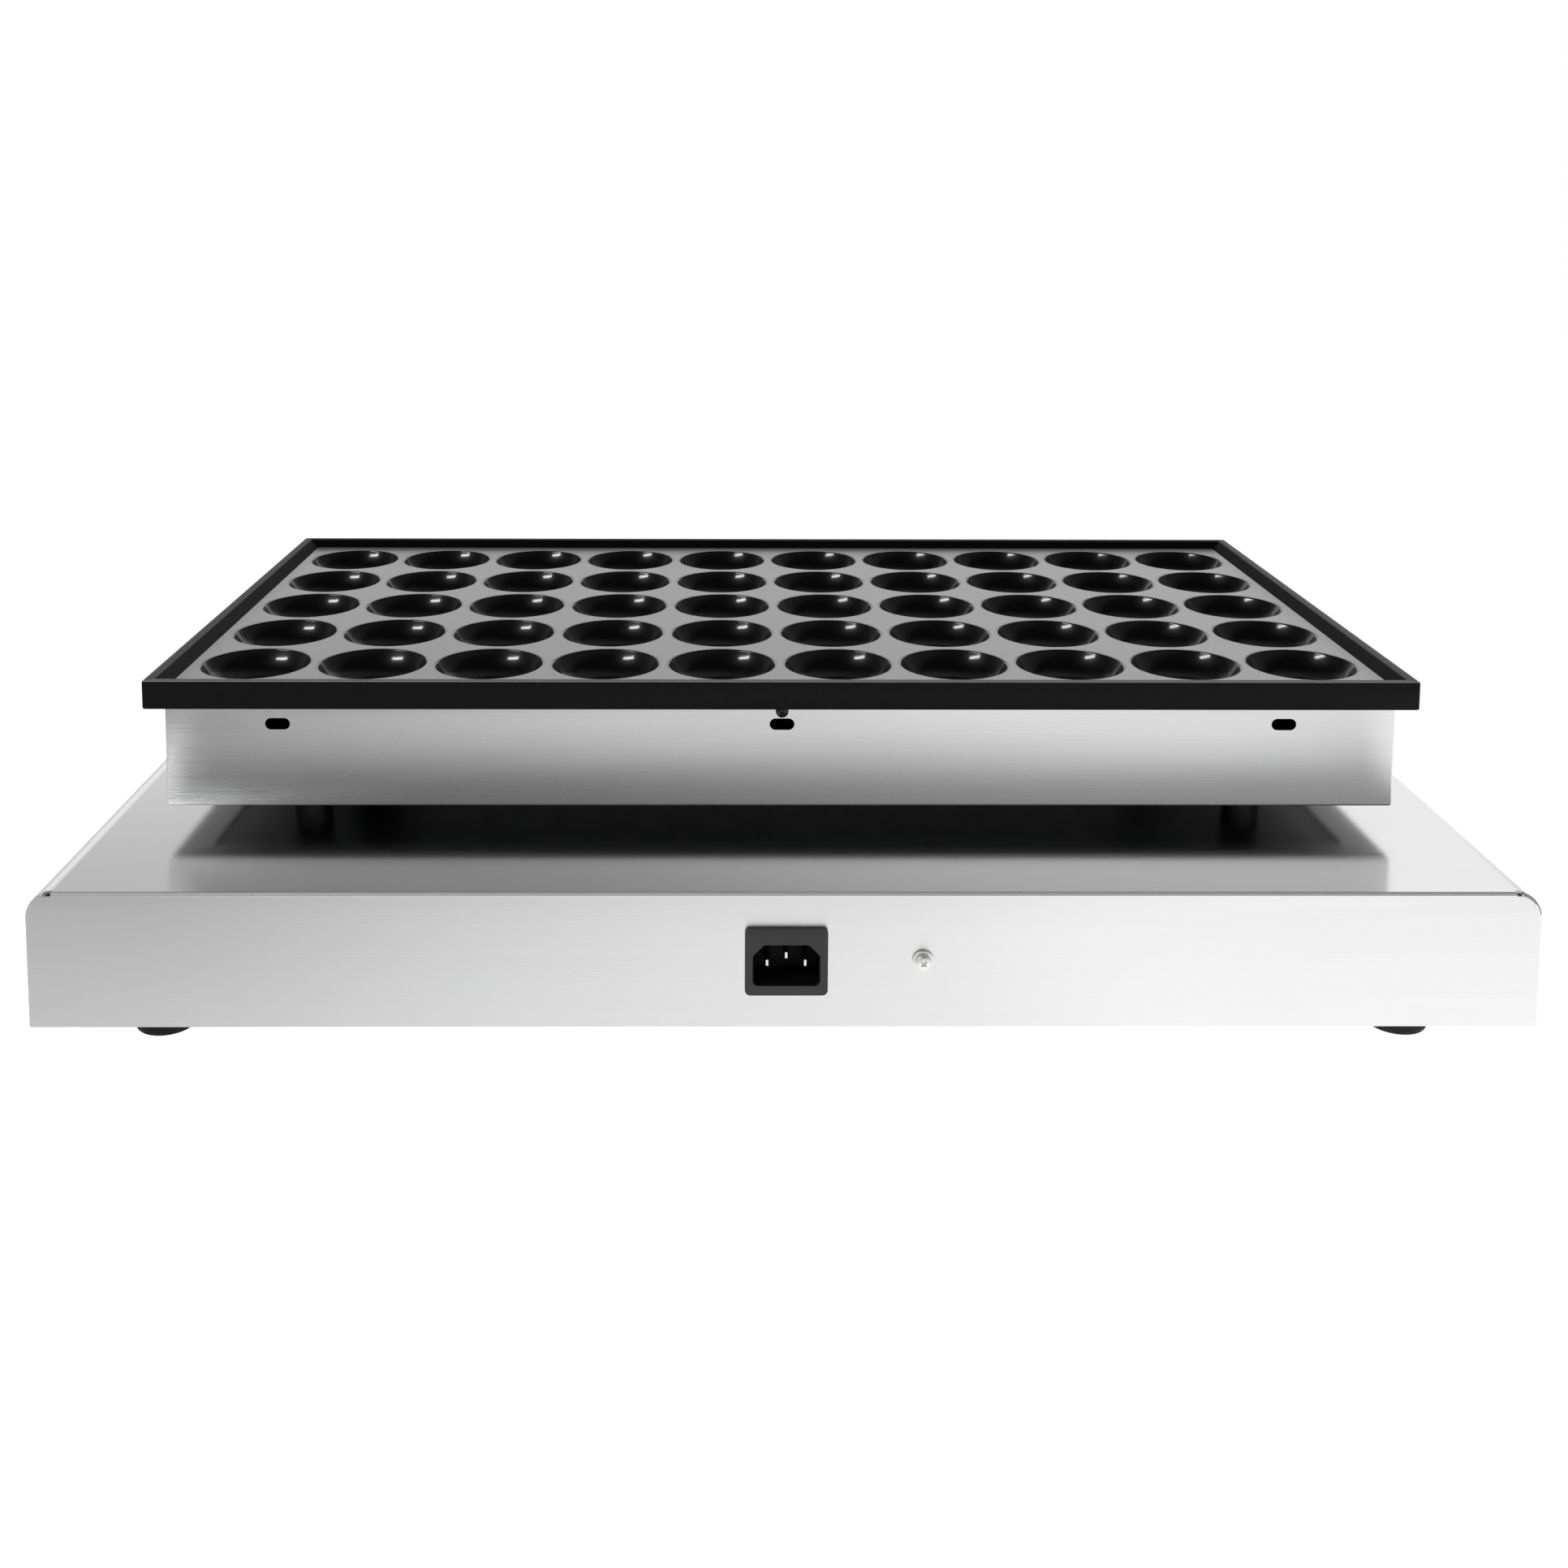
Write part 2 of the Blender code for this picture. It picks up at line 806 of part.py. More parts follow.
# Power switch: the snap-in body and its rocker
y_flange_front = y_front + gap + switch_flange_thickness
rocker_sweep = math.hypot(rocker_half, rocker_end) + gap
switch_body = box(
    "switch_body",
    (switch_flange_width, switch_flange_thickness, switch_flange_height),
    (switch_x, y_flange_front - switch_flange_thickness / 2, z_base_mid),
    black_plastic,
)
switch_inner_depth = switch_body_depth + gap + switch_flange_thickness / 2
join(
    switch_body,
    box(
        "switch_inner",
        (switch_body_width, switch_inner_depth, switch_body_height),
        (switch_x, y_flange_front - switch_flange_thickness / 2 - switch_inner_depth / 2, z_base_mid),
    ),
)
cut(
    switch_body,
    box(
        "switch_cavity",
        (rocker_width + 2 * gap, rocker_cavity_depth + cut_over, 2 * rocker_sweep),
        (switch_x, y_flange_front + (cut_over - rocker_cavity_depth) / 2, z_base_mid),
    ),
)
cut(
    base_cover,
    box(
        "switch_opening",
        (switch_body_width + 2 * gap, base_sheet + 2 * cut_over, switch_body_height + 2 * gap),
        (switch_x, y_front - base_sheet / 2, z_base_mid),
    ),
)
rocker_pivot = bpy.data.objects.new("rocker_pivot", None)
parts.objects.link(rocker_pivot)
rocker_pivot.location = (switch_x, y_flange_front - rocker_pivot_depth, z_base_mid)
rocker_pivot.rotation_euler = (-math.radians(rocker_tilt_deg), 0.0, 0.0)
power_rocker = outline_solid(
    "power_rocker",
    (
        (-rocker_half, rocker_end),
        (-rocker_half * rocker_back_share, -rocker_back),
        (rocker_half * rocker_back_share, -rocker_back),
        (rocker_half, rocker_end),
        (0.0, rocker_centre),
    ),
    rocker_width,
    (0.0, 0.0, 0.0),
    red_plastic,
    (0.0, -math.pi / 2, 0.0),
)
power_rocker.parent = rocker_pivot

# Lamps in the front panel
lamp_profile = (
    (0.0, lamp_flange_thickness + lamp_lens_height),
    (lamp_lens_radius * lamp_crown_share, lamp_flange_thickness + lamp_lens_height * lamp_crown_rise_share),
    (lamp_lens_radius, lamp_flange_thickness + lamp_lens_height * lamp_shoulder_share),
    (lamp_lens_radius, lamp_flange_thickness),
    (lamp_flange_radius, lamp_flange_thickness),
    (lamp_flange_radius, 0.0),
    (lamp_body_radius, 0.0),
    (lamp_body_radius, -lamp_body_length),
    (0.0, -lamp_body_length),
)
for lamp, x, look in (("power_lamp", power_lamp_x, green_plastic), ("heat_lamp", heat_lamp_x, red_plastic)):
    turned(lamp, lamp_profile, (x, y_front + gap, z_base_mid), look, to_front, steps=20)
    cut(
        base_cover,
        cylinder(
            f"{lamp}_hole",
            lamp_body_radius + gap,
            base_sheet + 2 * cut_over,
            (x, y_front - base_sheet / 2, z_base_mid),
            turn=to_rear,
            steps=20,
        ),
    )

# Spacers that carry the housing above the base
z_spacer = z_base_top + gap
spacer_height = z_floor - gap - z_spacer
spacer_places = [
    (sx * (housing_width / 2 - standoff_inset_x), y_plate + sy * (housing_depth / 2 - standoff_inset_y))
    for sy in (-1, 1)
    for sx in (-1, 1)
]
housing_floor = box(
    "housing_floor", (floor_width, floor_depth, floor_sheet), (0.0, y_plate, z_floor + floor_sheet / 2), dark_steel
)
for number, (x, y) in enumerate(spacer_places, 1):
    turned(
        f"standoff_{number}",
        (
            (0.0, z_floor_top - z_spacer),
            (standoff_stud_radius, z_floor_top - z_spacer),
            (standoff_stud_radius, spacer_height),
            (standoff_radius, spacer_height),
            (standoff_radius, 0.0),
            (standoff_stud_radius, 0.0),
            (standoff_stud_radius, -(gap + base_sheet + standoff_tail)),
            (0.0, -(gap + base_sheet + standoff_tail)),
        ),
        (x, y, z_spacer),
        dark_steel,
        steps=16,
    )
    stud_hole = cylinder(
        f"stud_hole_{number}",
        standoff_stud_radius + gap,
        z_floor_top - z_inner_top + 2 * cut_over,
        (x, y, (z_floor_top + z_inner_top) / 2),
        steps=16,
    )
    cut(housing_floor, stud_hole)
    cut(base_cover, stud_hole)

# Conduit that takes the wires from the base into the housing
z_conduit = z_inner_top - conduit_tail
z_conduit_top = z_pad_top + conduit_stand
turned(
    "conduit",
    (
        (conduit_bore, z_conduit_top),
        (conduit_radius, z_conduit_top),
        (conduit_radius, z_conduit),
        (conduit_bore, z_conduit),
    ),
    (x_conduit, y_plate, 0.0),
    dark_steel,
    ring=True,
    steps=20,
)
conduit_hole = cylinder(
    "conduit_hole",
    conduit_radius + gap,
    z_conduit_top - z_conduit,
    (x_conduit, y_plate, (z_conduit_top + z_conduit) / 2),
    steps=20,
)
cut(housing_floor, conduit_hole)
cut(base_cover, conduit_hole)
insulation_pad = box(
    "insulation_pad",
    (floor_width - 2 * pad_edge, floor_depth - 2 * pad_edge, pad_thickness),
    (0.0, y_plate, z_pad + pad_thickness / 2),
    wool,
)
cut(insulation_pad, conduit_hole)

# Housing: four walls with a lip turned in at the bottom, and slots at the rear
grill_housing = box(
    "grill_housing",
    (housing_width, housing_depth, housing_height),
    (0.0, y_plate, z_housing + housing_height / 2),
    steel,
)
inner_height = housing_height - housing_sheet + cut_over
cut(
    grill_housing,
    box(
        "housing_inside",
        (housing_width - 2 * housing_sheet, housing_depth - 2 * housing_sheet, inner_height),
        (0.0, y_plate, z_housing + housing_sheet + inner_height / 2),
    ),
    box(
        "housing_mouth",
        (housing_width - 2 * housing_lip, housing_depth - 2 * housing_lip, housing_height),
        (0.0, y_plate, z_housing),
    ),
)
z_slot = z_rim_bottom - slot_drop
for number in (-1, 0, 1):
    cut(
        grill_housing,
        outline_solid(
            f"housing_slot_{number + 2}",
            obround(slot_length, slot_width),
            housing_sheet + 2 * cut_over,
            (number * slot_pitch, y_housing_rear + housing_sheet / 2, z_slot),
            turn=to_rear,
        ),
    )

# Baking plate: the rimmed flange that rests on the housing, and the thick body inside it
baking_plate = box(
    "baking_plate",
    (plate_width, plate_depth, z_rim_top - z_rim_bottom),
    (0.0, y_plate, (z_rim_top + z_rim_bottom) / 2),
    cast,
)
join(
    baking_plate,
    box(
        "plate_body",
        (body_width, body_depth, body_drop + plate_edge / 2),
        (0.0, y_plate, z_body + (body_drop + plate_edge / 2) / 2),
    ),
)
floor_x = plate_width - 2 * (rim_face + rim_slope)
floor_y = plate_depth - 2 * (rim_face + rim_slope)
grow = 2 * rim_slope * (rim_rise + cut_over) / rim_rise
cut(
    baking_plate,
    tapered_box(
        "plate_tray",
        (floor_x, floor_y),
        (floor_x + grow, floor_y + grow),
        rim_rise + cut_over,
        (0.0, y_plate, z_cups),
    ),
)
cup_radius = cup_diameter / 2
cup_profile = (
    [(0.0, cut_over), (cup_radius, cut_over)]
    + [
        (cup_radius * r_share, -cup_depth * z_share)
        for r_share, z_share in zip(cup_radius_shares, cup_depth_shares)
    ]
    + [(0.0, -cup_depth)]
)
cups = turned(
    "plate_cups",
    cup_profile,
    (-(cup_columns - 1) * cup_pitch / 2, y_plate - (cup_rows - 1) * cup_pitch / 2, z_cups),
    steps=cup_steps,
)
for count, direction in ((cup_columns, (cup_pitch, 0.0, 0.0)), (cup_rows, (0.0, cup_pitch, 0.0))):
    rows = cups.modifiers.new("rows", "ARRAY")
    rows.count = count
    rows.use_relative_offset = False
    rows.use_constant_offset = True
    rows.constant_offset_displace = direction
cut(baking_plate, cups)

# Screws at the rear and the front that hold the plate's body to the housing wall
for side, side_name, turn in ((-1, "rear", to_rear), (1, "front", to_front)):
    y_wall = y_plate + side * housing_depth / 2
    y_head = y_wall + side * gap
    turned(
        f"plate_screw_{side_name}",
        screw_profile(
            plate_screw_head_radius, plate_screw_head_height, plate_screw_radius, plate_screw_reach
        ),
        (0.0, y_head, z_plate_screw),
        dark_steel,
        turn,
        steps=small_steps,
    )
    hole_length = plate_screw_reach + gap + cut_over
    screw_hole = cylinder(
        f"plate_screw_hole_{side_name}",
        plate_screw_radius + gap,
        hole_length,
        (0.0, y_head + side * (cut_over - gap - hole_length / 2), z_plate_screw),
        turn=to_rear,
        steps=small_steps,
    )
    cut(grill_housing, screw_hole)
    cut(baking_plate, screw_hole)


# Heaters: two hairpins pressed under the cup rows beside the middle one
def hairpin(y_near, y_far):
    """From one cold end, along under a row, round the turn and back under the next row."""
    radius = (y_far - y_near) / 2
    path = [Vector((-heater_end_x, y_near, z_heater))]
    for step in range(heater_turn_steps + 1):
        angle = -math.pi / 2 + math.pi * step / heater_turn_steps
        path.append(
            Vector(
                (
                    heater_turn_x + abs(radius) * math.cos(angle),
                    (y_near + y_far) / 2 + radius * math.sin(angle),
                    z_heater,
                )
            )
        )
    path.append(Vector((-heater_end_x, y_far, z_heater)))
    return path


for side, side_name in ((-1, "rear"), (1, "front")):
    tube(
        f"heater_{side_name}",
        hairpin(y_plate + side * cup_pitch, y_plate + side * 2 * cup_pitch),
        heater_radius,
        dark_steel,
    )

# Clamp bars across the heaters, and the clip under the probe
clamp_length = 2 * (2 * cup_pitch + heater_radius + clamp_over)
clamp_x = clamp_column * cup_pitch
screw_off = clamp_screw_rows * cup_pitch
clamps = [
    ("clamp_bar_left", -clamp_x, clamp_length, (-screw_off, screw_off)),
    ("clamp_bar_right", clamp_x, clamp_length, (-screw_off, screw_off)),
    ("probe_clip", 0.0, probe_clip_length, (probe_clip_length / 2 - clamp_width / 2,)),
]
number = 0
for name, x, length, places in clamps:
    bar = box(name, (clamp_width, length, clamp_thickness), (x, y_plate, z_bar), zinc)
    for y_off in places:
        number += 1
        shank = z_body + clamp_screw_bite - z_clamp_head
        turned(
            f"clamp_screw_{number}",
            screw_profile(clamp_screw_head_radius, clamp_screw_head_height, clamp_screw_radius, shank),
            (x, y_plate + y_off, z_clamp_head),
            zinc,
            to_floor,
            steps=small_steps,
        )
        hole = cylinder(
            f"clamp_hole_{number}",
            clamp_screw_radius + gap,
            shank + gap,
            (x, y_plate + y_off, z_clamp_head + (shank + gap) / 2),
            steps=small_steps,
        )
        cut(bar, hole)
        cut(baking_plate, hole)
cylinder("probe_bulb", probe_radius, probe_length, (0.0, y_plate, z_heater), copper, to_right, 16)

# Terminal block on the bottom plate
y_block = y_rear + block_from_rear
z_block = z_bottom_top + gap + block_height / 2
terminal_block = box("terminal_block", (block_width, block_depth, block_height), (block_x, y_block, z_block), white_wire)
for side in (-1, 1):
    cut(
        terminal_block,
        box(
            f"block_groove_{'left' if side < 0 else 'right'}",
            (block_groove, block_depth + 2 * cut_over, 2 * block_groove_depth),
            (block_x + side * block_width / 6, y_block, z_block + block_height / 2),
        ),
    )

# Wires and the thermostat's capillary
down = Vector((0.0, 0.0, -1.0))
front = Vector((0.0, 1.0, 0.0))
left = Vector((-1.0, 0.0, 0.0))
z_enter = z_conduit_top + wire_rise
z_leave = z_conduit - wire_rise
conduit_run = z_enter - z_leave
block_front = y_block + block_depth / 2 + gap
block_rear = y_block - block_depth / 2 - gap
block_steps = block_width / 3
for side, side_name in ((-1, "rear"), (1, "front")):
    x = x_conduit - conduit_spread
    y = y_plate + side * conduit_spread
    entry = (block_x - block_steps if side < 0 else block_x, block_front, z_block)
    tube(
        f"heater_lead_{side_name}",
        smooth_run(
            [
                ((-heater_end_x - gap, y_plate + side * 2 * cup_pitch, z_heater), left * wire_reach),
                ((-heater_end_x - lead_loop, y_plate + side * screw_off, z_enter), -side * front * wire_reach),
                ((x, y, z_enter), down * wire_reach),
                ((x, y, z_leave), down * conduit_run),
                (entry, -front * wire_reach),
            ]
        ),
        wire_radius,
        white_wire,
    )
tube(
    "heater_link",
    smooth_run(
        [
            ((-heater_end_x - gap, y_plate - cup_pitch, z_heater), left * wire_reach),
            ((-heater_end_x - gap, y_plate + cup_pitch, z_heater), -left * wire_reach),
        ]
    ),
    wire_radius,
    white_wire,
)
tube(
    "capillary_tube",
    smooth_run(
        [
            ((-probe_length / 2 - gap, y_plate, z_heater), left * wire_reach),
            ((-clamp_x - clamp_width, y_plate, z_heater), left * wire_reach),
            ((x_conduit + conduit_spread, y_plate, z_enter), down * wire_reach),
            ((x_conduit + conduit_spread, y_plate, z_leave), down * conduit_run),
            ((thermostat_x, y_front_in - 2 * gap - control_depth, z_base_mid), front * long_reach),
        ]
    ),
    capillary_radius,
    copper,
)
for pin_name, x_to, look in (("line", block_x - block_steps, brown_wire), ("neutral", block_x + block_steps, blue_wire)):
    x, z = pin_places[pin_name]
    tube(
        f"{pin_name}_wire",
        smooth_run([((x, pin_end + gap, z), front * wire_reach), ((x_to, block_rear, z_block), front * wire_reach)]),
        wire_radius,
        look,
    )
x, z = pin_places["earth"]
tube(
    "earth_wire",
    smooth_run(
        [
            ((x, pin_end + gap, z), front * wire_reach),
            (
                (earth_offset_x, y_earth_nut + earth_nut_thickness / 2 + gap, z_base_mid + earth_radius + wire_radius),
                -front * wire_reach,
            ),
        ]
    ),
    wire_radius,
    earth_wire_look,
)
y_control_back = y_front_in - 2 * gap - control_depth
y_switch_back = y_front - switch_body_depth - gap
tube(
    "switch_lead",
    smooth_run(
        [
            ((block_x + block_steps, block_front, z_block), front * wire_reach),
            ((switch_x, y_switch_back, z_base_mid), front * long_reach),
        ]
    ),
    wire_radius,
    brown_wire,
)
tube(
    "control_lead",
    smooth_run(
        [
            ((thermostat_x + control_width / 4, y_control_back, z_base_mid), -front * wire_reach),
            ((timer_x - control_width / 4, y_control_back, z_base_mid), front * wire_reach),
        ]
    ),
    wire_radius,
    white_wire,
)
tube(
    "timer_lead",
    smooth_run(
        [
            ((timer_x + control_width / 4, y_control_back, z_base_mid), -front * wire_reach),
            ((switch_x - switch_body_width / 4, y_switch_back, z_base_mid), front * wire_reach),
        ]
    ),
    wire_radius,
    white_wire,
)
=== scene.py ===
"""Looks of the mini pancake maker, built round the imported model."""

import json
import math

import bmesh
import bpy
from mathutils import Matrix, Vector

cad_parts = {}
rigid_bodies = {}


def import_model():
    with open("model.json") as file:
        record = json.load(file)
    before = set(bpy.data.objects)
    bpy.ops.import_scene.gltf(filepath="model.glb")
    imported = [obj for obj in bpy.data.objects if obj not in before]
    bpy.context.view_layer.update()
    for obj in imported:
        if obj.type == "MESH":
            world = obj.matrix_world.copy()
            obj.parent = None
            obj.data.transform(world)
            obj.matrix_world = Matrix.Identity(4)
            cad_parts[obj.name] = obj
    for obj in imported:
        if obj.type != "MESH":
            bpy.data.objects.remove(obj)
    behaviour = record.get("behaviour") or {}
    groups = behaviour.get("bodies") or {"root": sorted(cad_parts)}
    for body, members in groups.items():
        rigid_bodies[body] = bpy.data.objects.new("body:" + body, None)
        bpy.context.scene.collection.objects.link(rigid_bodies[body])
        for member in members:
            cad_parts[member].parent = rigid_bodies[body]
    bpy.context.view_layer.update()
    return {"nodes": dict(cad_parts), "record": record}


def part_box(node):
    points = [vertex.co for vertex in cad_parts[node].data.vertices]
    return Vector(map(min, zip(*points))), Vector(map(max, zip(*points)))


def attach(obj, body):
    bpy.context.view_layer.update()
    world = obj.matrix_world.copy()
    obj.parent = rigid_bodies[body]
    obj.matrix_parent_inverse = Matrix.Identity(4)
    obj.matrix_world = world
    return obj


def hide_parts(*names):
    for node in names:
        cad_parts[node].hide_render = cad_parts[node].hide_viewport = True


for thing in list(bpy.data.objects):
    bpy.data.objects.remove(thing, do_unlink=True)

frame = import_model()
scene = bpy.context.scene
scene.view_settings.view_transform = "Standard"

GRILL = "grill"

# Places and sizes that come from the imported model
plate_lo, plate_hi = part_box("baking_plate")
base_lo, base_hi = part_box("base_cover")
house_lo, house_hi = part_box("grill_housing")
plate_y = (plate_lo.y + plate_hi.y) / 2
base_mid_z = (base_lo.z + base_hi.z) / 2

# Sizes that the solids share
CUP_COLUMNS, CUP_ROWS = 10, 5
CUP_PITCH, CUP_RADIUS, CUP_DEPTH = 0.049, 0.0225, 0.010
SHEET = 0.0012
WALL = 0.0010
GAP = 0.0003
BASE_BEND = 0.010
SLOT_PITCH, SLOT_DROP = 0.2047, 0.0091
PLATE_SCREW_DROP = 0.0035
KNOB_HEIGHT, TICK_START = 0.0195, 0.0198
NOTCH_WIDTH, NOTCH_REACH, NOTCH_HEIGHT = 0.0031, 0.0024, 0.0016
rim_bottom = house_hi.z + GAP


# Materials


def nodes_of(material):
    return material.node_tree.nodes, material.node_tree.links


def noise(tree, scale, detail=4.0, stretch=(1.0, 1.0, 1.0)):
    """A noise texture in the object's own metres."""
    nodes, links = tree
    where = nodes.new("ShaderNodeTexCoord")
    mapping = nodes.new("ShaderNodeMapping")
    mapping.inputs["Scale"].default_value = stretch
    texture = nodes.new("ShaderNodeTexNoise")
    texture.inputs["Scale"].default_value = scale
    texture.inputs["Detail"].default_value = detail
    links.new(where.outputs["Object"], mapping.inputs["Vector"])
    links.new(mapping.outputs["Vector"], texture.inputs["Vector"])
    return texture.outputs["Fac"]


def spread(tree, source, low, high, start=0.3, end=0.7):
    """Maps a noise value to a range."""
    nodes, links = tree
    ramp = nodes.new("ShaderNodeMapRange")
    ramp.inputs["From Min"].default_value = start
    ramp.inputs["From Max"].default_value = end
    ramp.inputs["To Min"].default_value = low
    ramp.inputs["To Max"].default_value = high
    links.new(source, ramp.inputs["Value"])
    return ramp.outputs["Result"]


def finish(name, colour, rough, metal=0.0, tone=0.08, tone_scale=60.0, grain=900.0, stretch=(1.0, 1.0, 1.0),
           bump=0.15, bump_size=0.00005, way=None, **constants):
    """A Principled material whose colour, roughness and relief vary with noise; rough is a (low, high) pair."""
    material = bpy.data.materials.new(name)
    material.use_nodes = True
    tree = nodes_of(material)
    nodes, links = tree
    shader = nodes["Principled BSDF"]
    mix = nodes.new("ShaderNodeMix")
    mix.data_type = "RGBA"
    mix.inputs["A"].default_value = (*[channel * (1 - tone) for channel in colour], 1.0)
    mix.inputs["B"].default_value = (*[min(channel * (1 + tone), 1.0) for channel in colour], 1.0)
    links.new(spread(tree, noise(tree, tone_scale, 5.0), 0.0, 1.0), mix.inputs["Factor"])
    links.new(mix.outputs["Result"], shader.inputs["Base Color"])
    fine = noise(tree, grain, 3.0, stretch)
    links.new(spread(tree, fine, *rough), shader.inputs["Roughness"])
    relief = nodes.new("ShaderNodeBump")
    relief.inputs["Strength"].default_value = bump
    relief.inputs["Distance"].default_value = bump_size
    links.new(fine, relief.inputs["Height"])
    links.new(relief.outputs["Normal"], shader.inputs["Normal"])
    shader.inputs["Metallic"].default_value = metal
    if way:
        along = nodes.new("ShaderNodeCombineXYZ")
        for socket, value in zip(along.inputs, way):
            socket.default_value = value
        links.new(along.outputs["Vector"], shader.inputs["Tangent"])
    for key, value in constants.items():
        shader.inputs[key.replace("_", " ")].default_value = value
    return material


BRUSHED = (0.004, 1.0, 1.0)
# the grain runs level, so reflections blur up and down more than sideways
UPRIGHT = (0.0, 0.1, 1.0)
steel = finish("steel", (0.86, 0.86, 0.865), (0.27, 0.285), 1.0, tone=0.012, tone_scale=9.0, grain=1500.0,
               stretch=BRUSHED, bump=0.012, bump_size=0.00001, way=UPRIGHT, Anisotropic=0.95)
steel_top = finish("steel_top", (0.835, 0.835, 0.84), (0.14, 0.19), 1.0, tone=0.012, tone_scale=9.0, grain=1500.0,
                   stretch=BRUSHED, bump=0.03, bump_size=0.00002)
# near-white, non-metallic copy of the steel for the cover's folds: a painted highlight along the bend
steel_fold_highlight = finish("steel_fold_highlight", (0.93, 0.93, 0.93), (0.38, 0.44), 0.0, tone=0.01, tone_scale=20.0, grain=1500.0,
                    stretch=BRUSHED, bump=0.03, bump_size=0.00002)
# a dark copy of the steel: painted shade on the housing's underside and inner faces, and on the sides of the inlet's
# blades
steel_painted_shade = finish("steel_painted_shade", (0.16, 0.16, 0.165), (0.3, 0.4), 1.0, tone=0.05, tone_scale=20.0, grain=1500.0,
                     stretch=BRUSHED, bump=0.04, bump_size=0.00002)
zinc = finish("zinc", (0.66, 0.66, 0.63), (0.25, 0.42), 1.0, tone=0.10, tone_scale=160.0, bump=0.2)
# a lighter copy of the zinc, so the earth screw and its washer read white: painted light
zinc_painted_light = finish("zinc_painted_light", (0.90, 0.90, 0.885), (0.42, 0.55), 1.0, tone=0.06, tone_scale=160.0, bump=0.15)
nickel = finish("nickel", (0.86, 0.85, 0.82), (0.16, 0.26), 1.0, tone=0.03, bump=0.08)
dark_steel = finish("dark_steel", (0.05, 0.05, 0.052), (0.35, 0.5), 0.9, tone=0.25, tone_scale=90.0)
copper = finish("copper", (0.62, 0.30, 0.16), (0.25, 0.4), 1.0, tone=0.12)
# the plate's top: the black coating lightened to grey, which is painted sheen; the coat and the high IOR add its real
# reflection
cast_top_sheen = finish("cast_top_sheen", (0.13, 0.13, 0.131), (0.28, 0.34), tone=0.08, tone_scale=200.0, grain=2600.0,
                  bump=0.10, bump_size=0.00003, IOR=2.4, Coat_Weight=0.8, Coat_Roughness=0.3)
# light grey on the black coating for the rounded cup lips and the rim's outer edge: a painted highlight
cast_lip_highlight = finish("cast_lip_highlight", (0.60, 0.60, 0.60), (0.35, 0.45), tone=0.15, tone_scale=300.0, grain=2600.0,
                  bump=0.10, bump_size=0.00003, IOR=1.8)
cast_cup = finish("cast_cup", (0.0010, 0.0010, 0.0011), (0.36, 0.42), tone=0.2, tone_scale=300.0, grain=2000.0,
                  bump=0.01, bump_size=0.00001, IOR=1.28, Coat_Weight=1.0, Coat_Roughness=0.12, Coat_IOR=1.45)
cast_rim = finish("cast_rim", (0.014, 0.014, 0.0142), (0.42, 0.5), tone=0.12, tone_scale=220.0, grain=1800.0,
                  bump=0.2, bump_size=0.00005, IOR=1.5)
cast_slope = finish("cast_slope", (0.006, 0.006, 0.0061), (0.45, 0.55), tone=0.12, tone_scale=220.0, grain=1800.0,
                    bump=0.15, bump_size=0.00004, IOR=1.1)
cast_side = finish("cast_side", (0.0085, 0.0085, 0.0087), (0.5, 0.62), tone=0.12, tone_scale=220.0, grain=1800.0,
                   bump=0.25, bump_size=0.00006, IOR=1.25)
rubber = finish("rubber", (0.006, 0.006, 0.006), (0.6, 0.8), tone=0.2, bump=0.3, IOR=1.4)
black_plastic = finish("black_plastic", (0.012, 0.012, 0.0125), (0.32, 0.42), tone=0.1, grain=3000.0, bump=0.25)
grey_plastic = finish("grey_plastic", (0.055, 0.055, 0.056), (0.42, 0.52), tone=0.06, grain=3000.0, bump=0.3)
# a near-black copy of the grey plastic for the socket's hole and the neck: painted shade in the recess
plastic_hole_shade = finish("plastic_hole_shade", (0.004, 0.004, 0.004), (0.5, 0.6), tone=0.1, grain=3000.0, IOR=1.3)
beige_plastic = finish("beige_plastic", (0.55, 0.50, 0.40), (0.4, 0.55), tone=0.05)
wool = finish("wool", (0.62, 0.60, 0.54), (0.9, 1.0), tone=0.12, grain=700.0, bump=0.9, bump_size=0.0006)
ceramic = finish("ceramic", (0.75, 0.74, 0.70), (0.35, 0.5), tone=0.04)
red_plastic = finish("red_plastic", (0.50, 0.012, 0.010), (0.16, 0.24), tone=0.06, bump=0.05, Coat_Weight=0.4)
green_plastic = finish("green_plastic", (0.02, 0.36, 0.06), (0.12, 0.2), tone=0.06, bump=0.05, Coat_Weight=0.6)
white_paint = finish("white_paint", (0.78, 0.78, 0.76), (0.5, 0.6), tone=0.03, bump=0.1)
black_ink = finish("black_ink", (0.012, 0.012, 0.012), (0.5, 0.6), tone=0.1, bump=0.1)
white_wire = finish("white_wire", (0.75, 0.74, 0.70), (0.5, 0.7), tone=0.05)
brown_wire = finish("brown_wire", (0.16, 0.07, 0.03), (0.4, 0.6), tone=0.08)
blue_wire = finish("blue_wire", (0.03, 0.10, 0.42), (0.4, 0.6), tone=0.08)
earth_look = finish("earth_wire", (0.35, 0.50, 0.05), (0.4, 0.6), tone=0.2, tone_scale=400.0)

carried = {
    "zinc": zinc, "steel": steel, "dark_steel": dark_steel, "copper": copper, "rubber": rubber, "nickel": nickel,
    "cast": cast_side, "black_plastic": black_plastic, "grey_plastic": grey_plastic, "beige_plastic": beige_plastic,
    "wool": wool, "ceramic": ceramic, "red_plastic": red_plastic, "green_plastic": green_plastic,
    "white_wire": white_wire, "brown_wire": brown_wire, "blue_wire": blue_wire, "earth_wire": earth_look,
}
for row in frame["record"]["subparts"]:
    node = frame["nodes"][row["node"]]
    node.data.materials.clear()
    node.data.materials.append(carried[row["material_slot"]])


# Mesh helpers


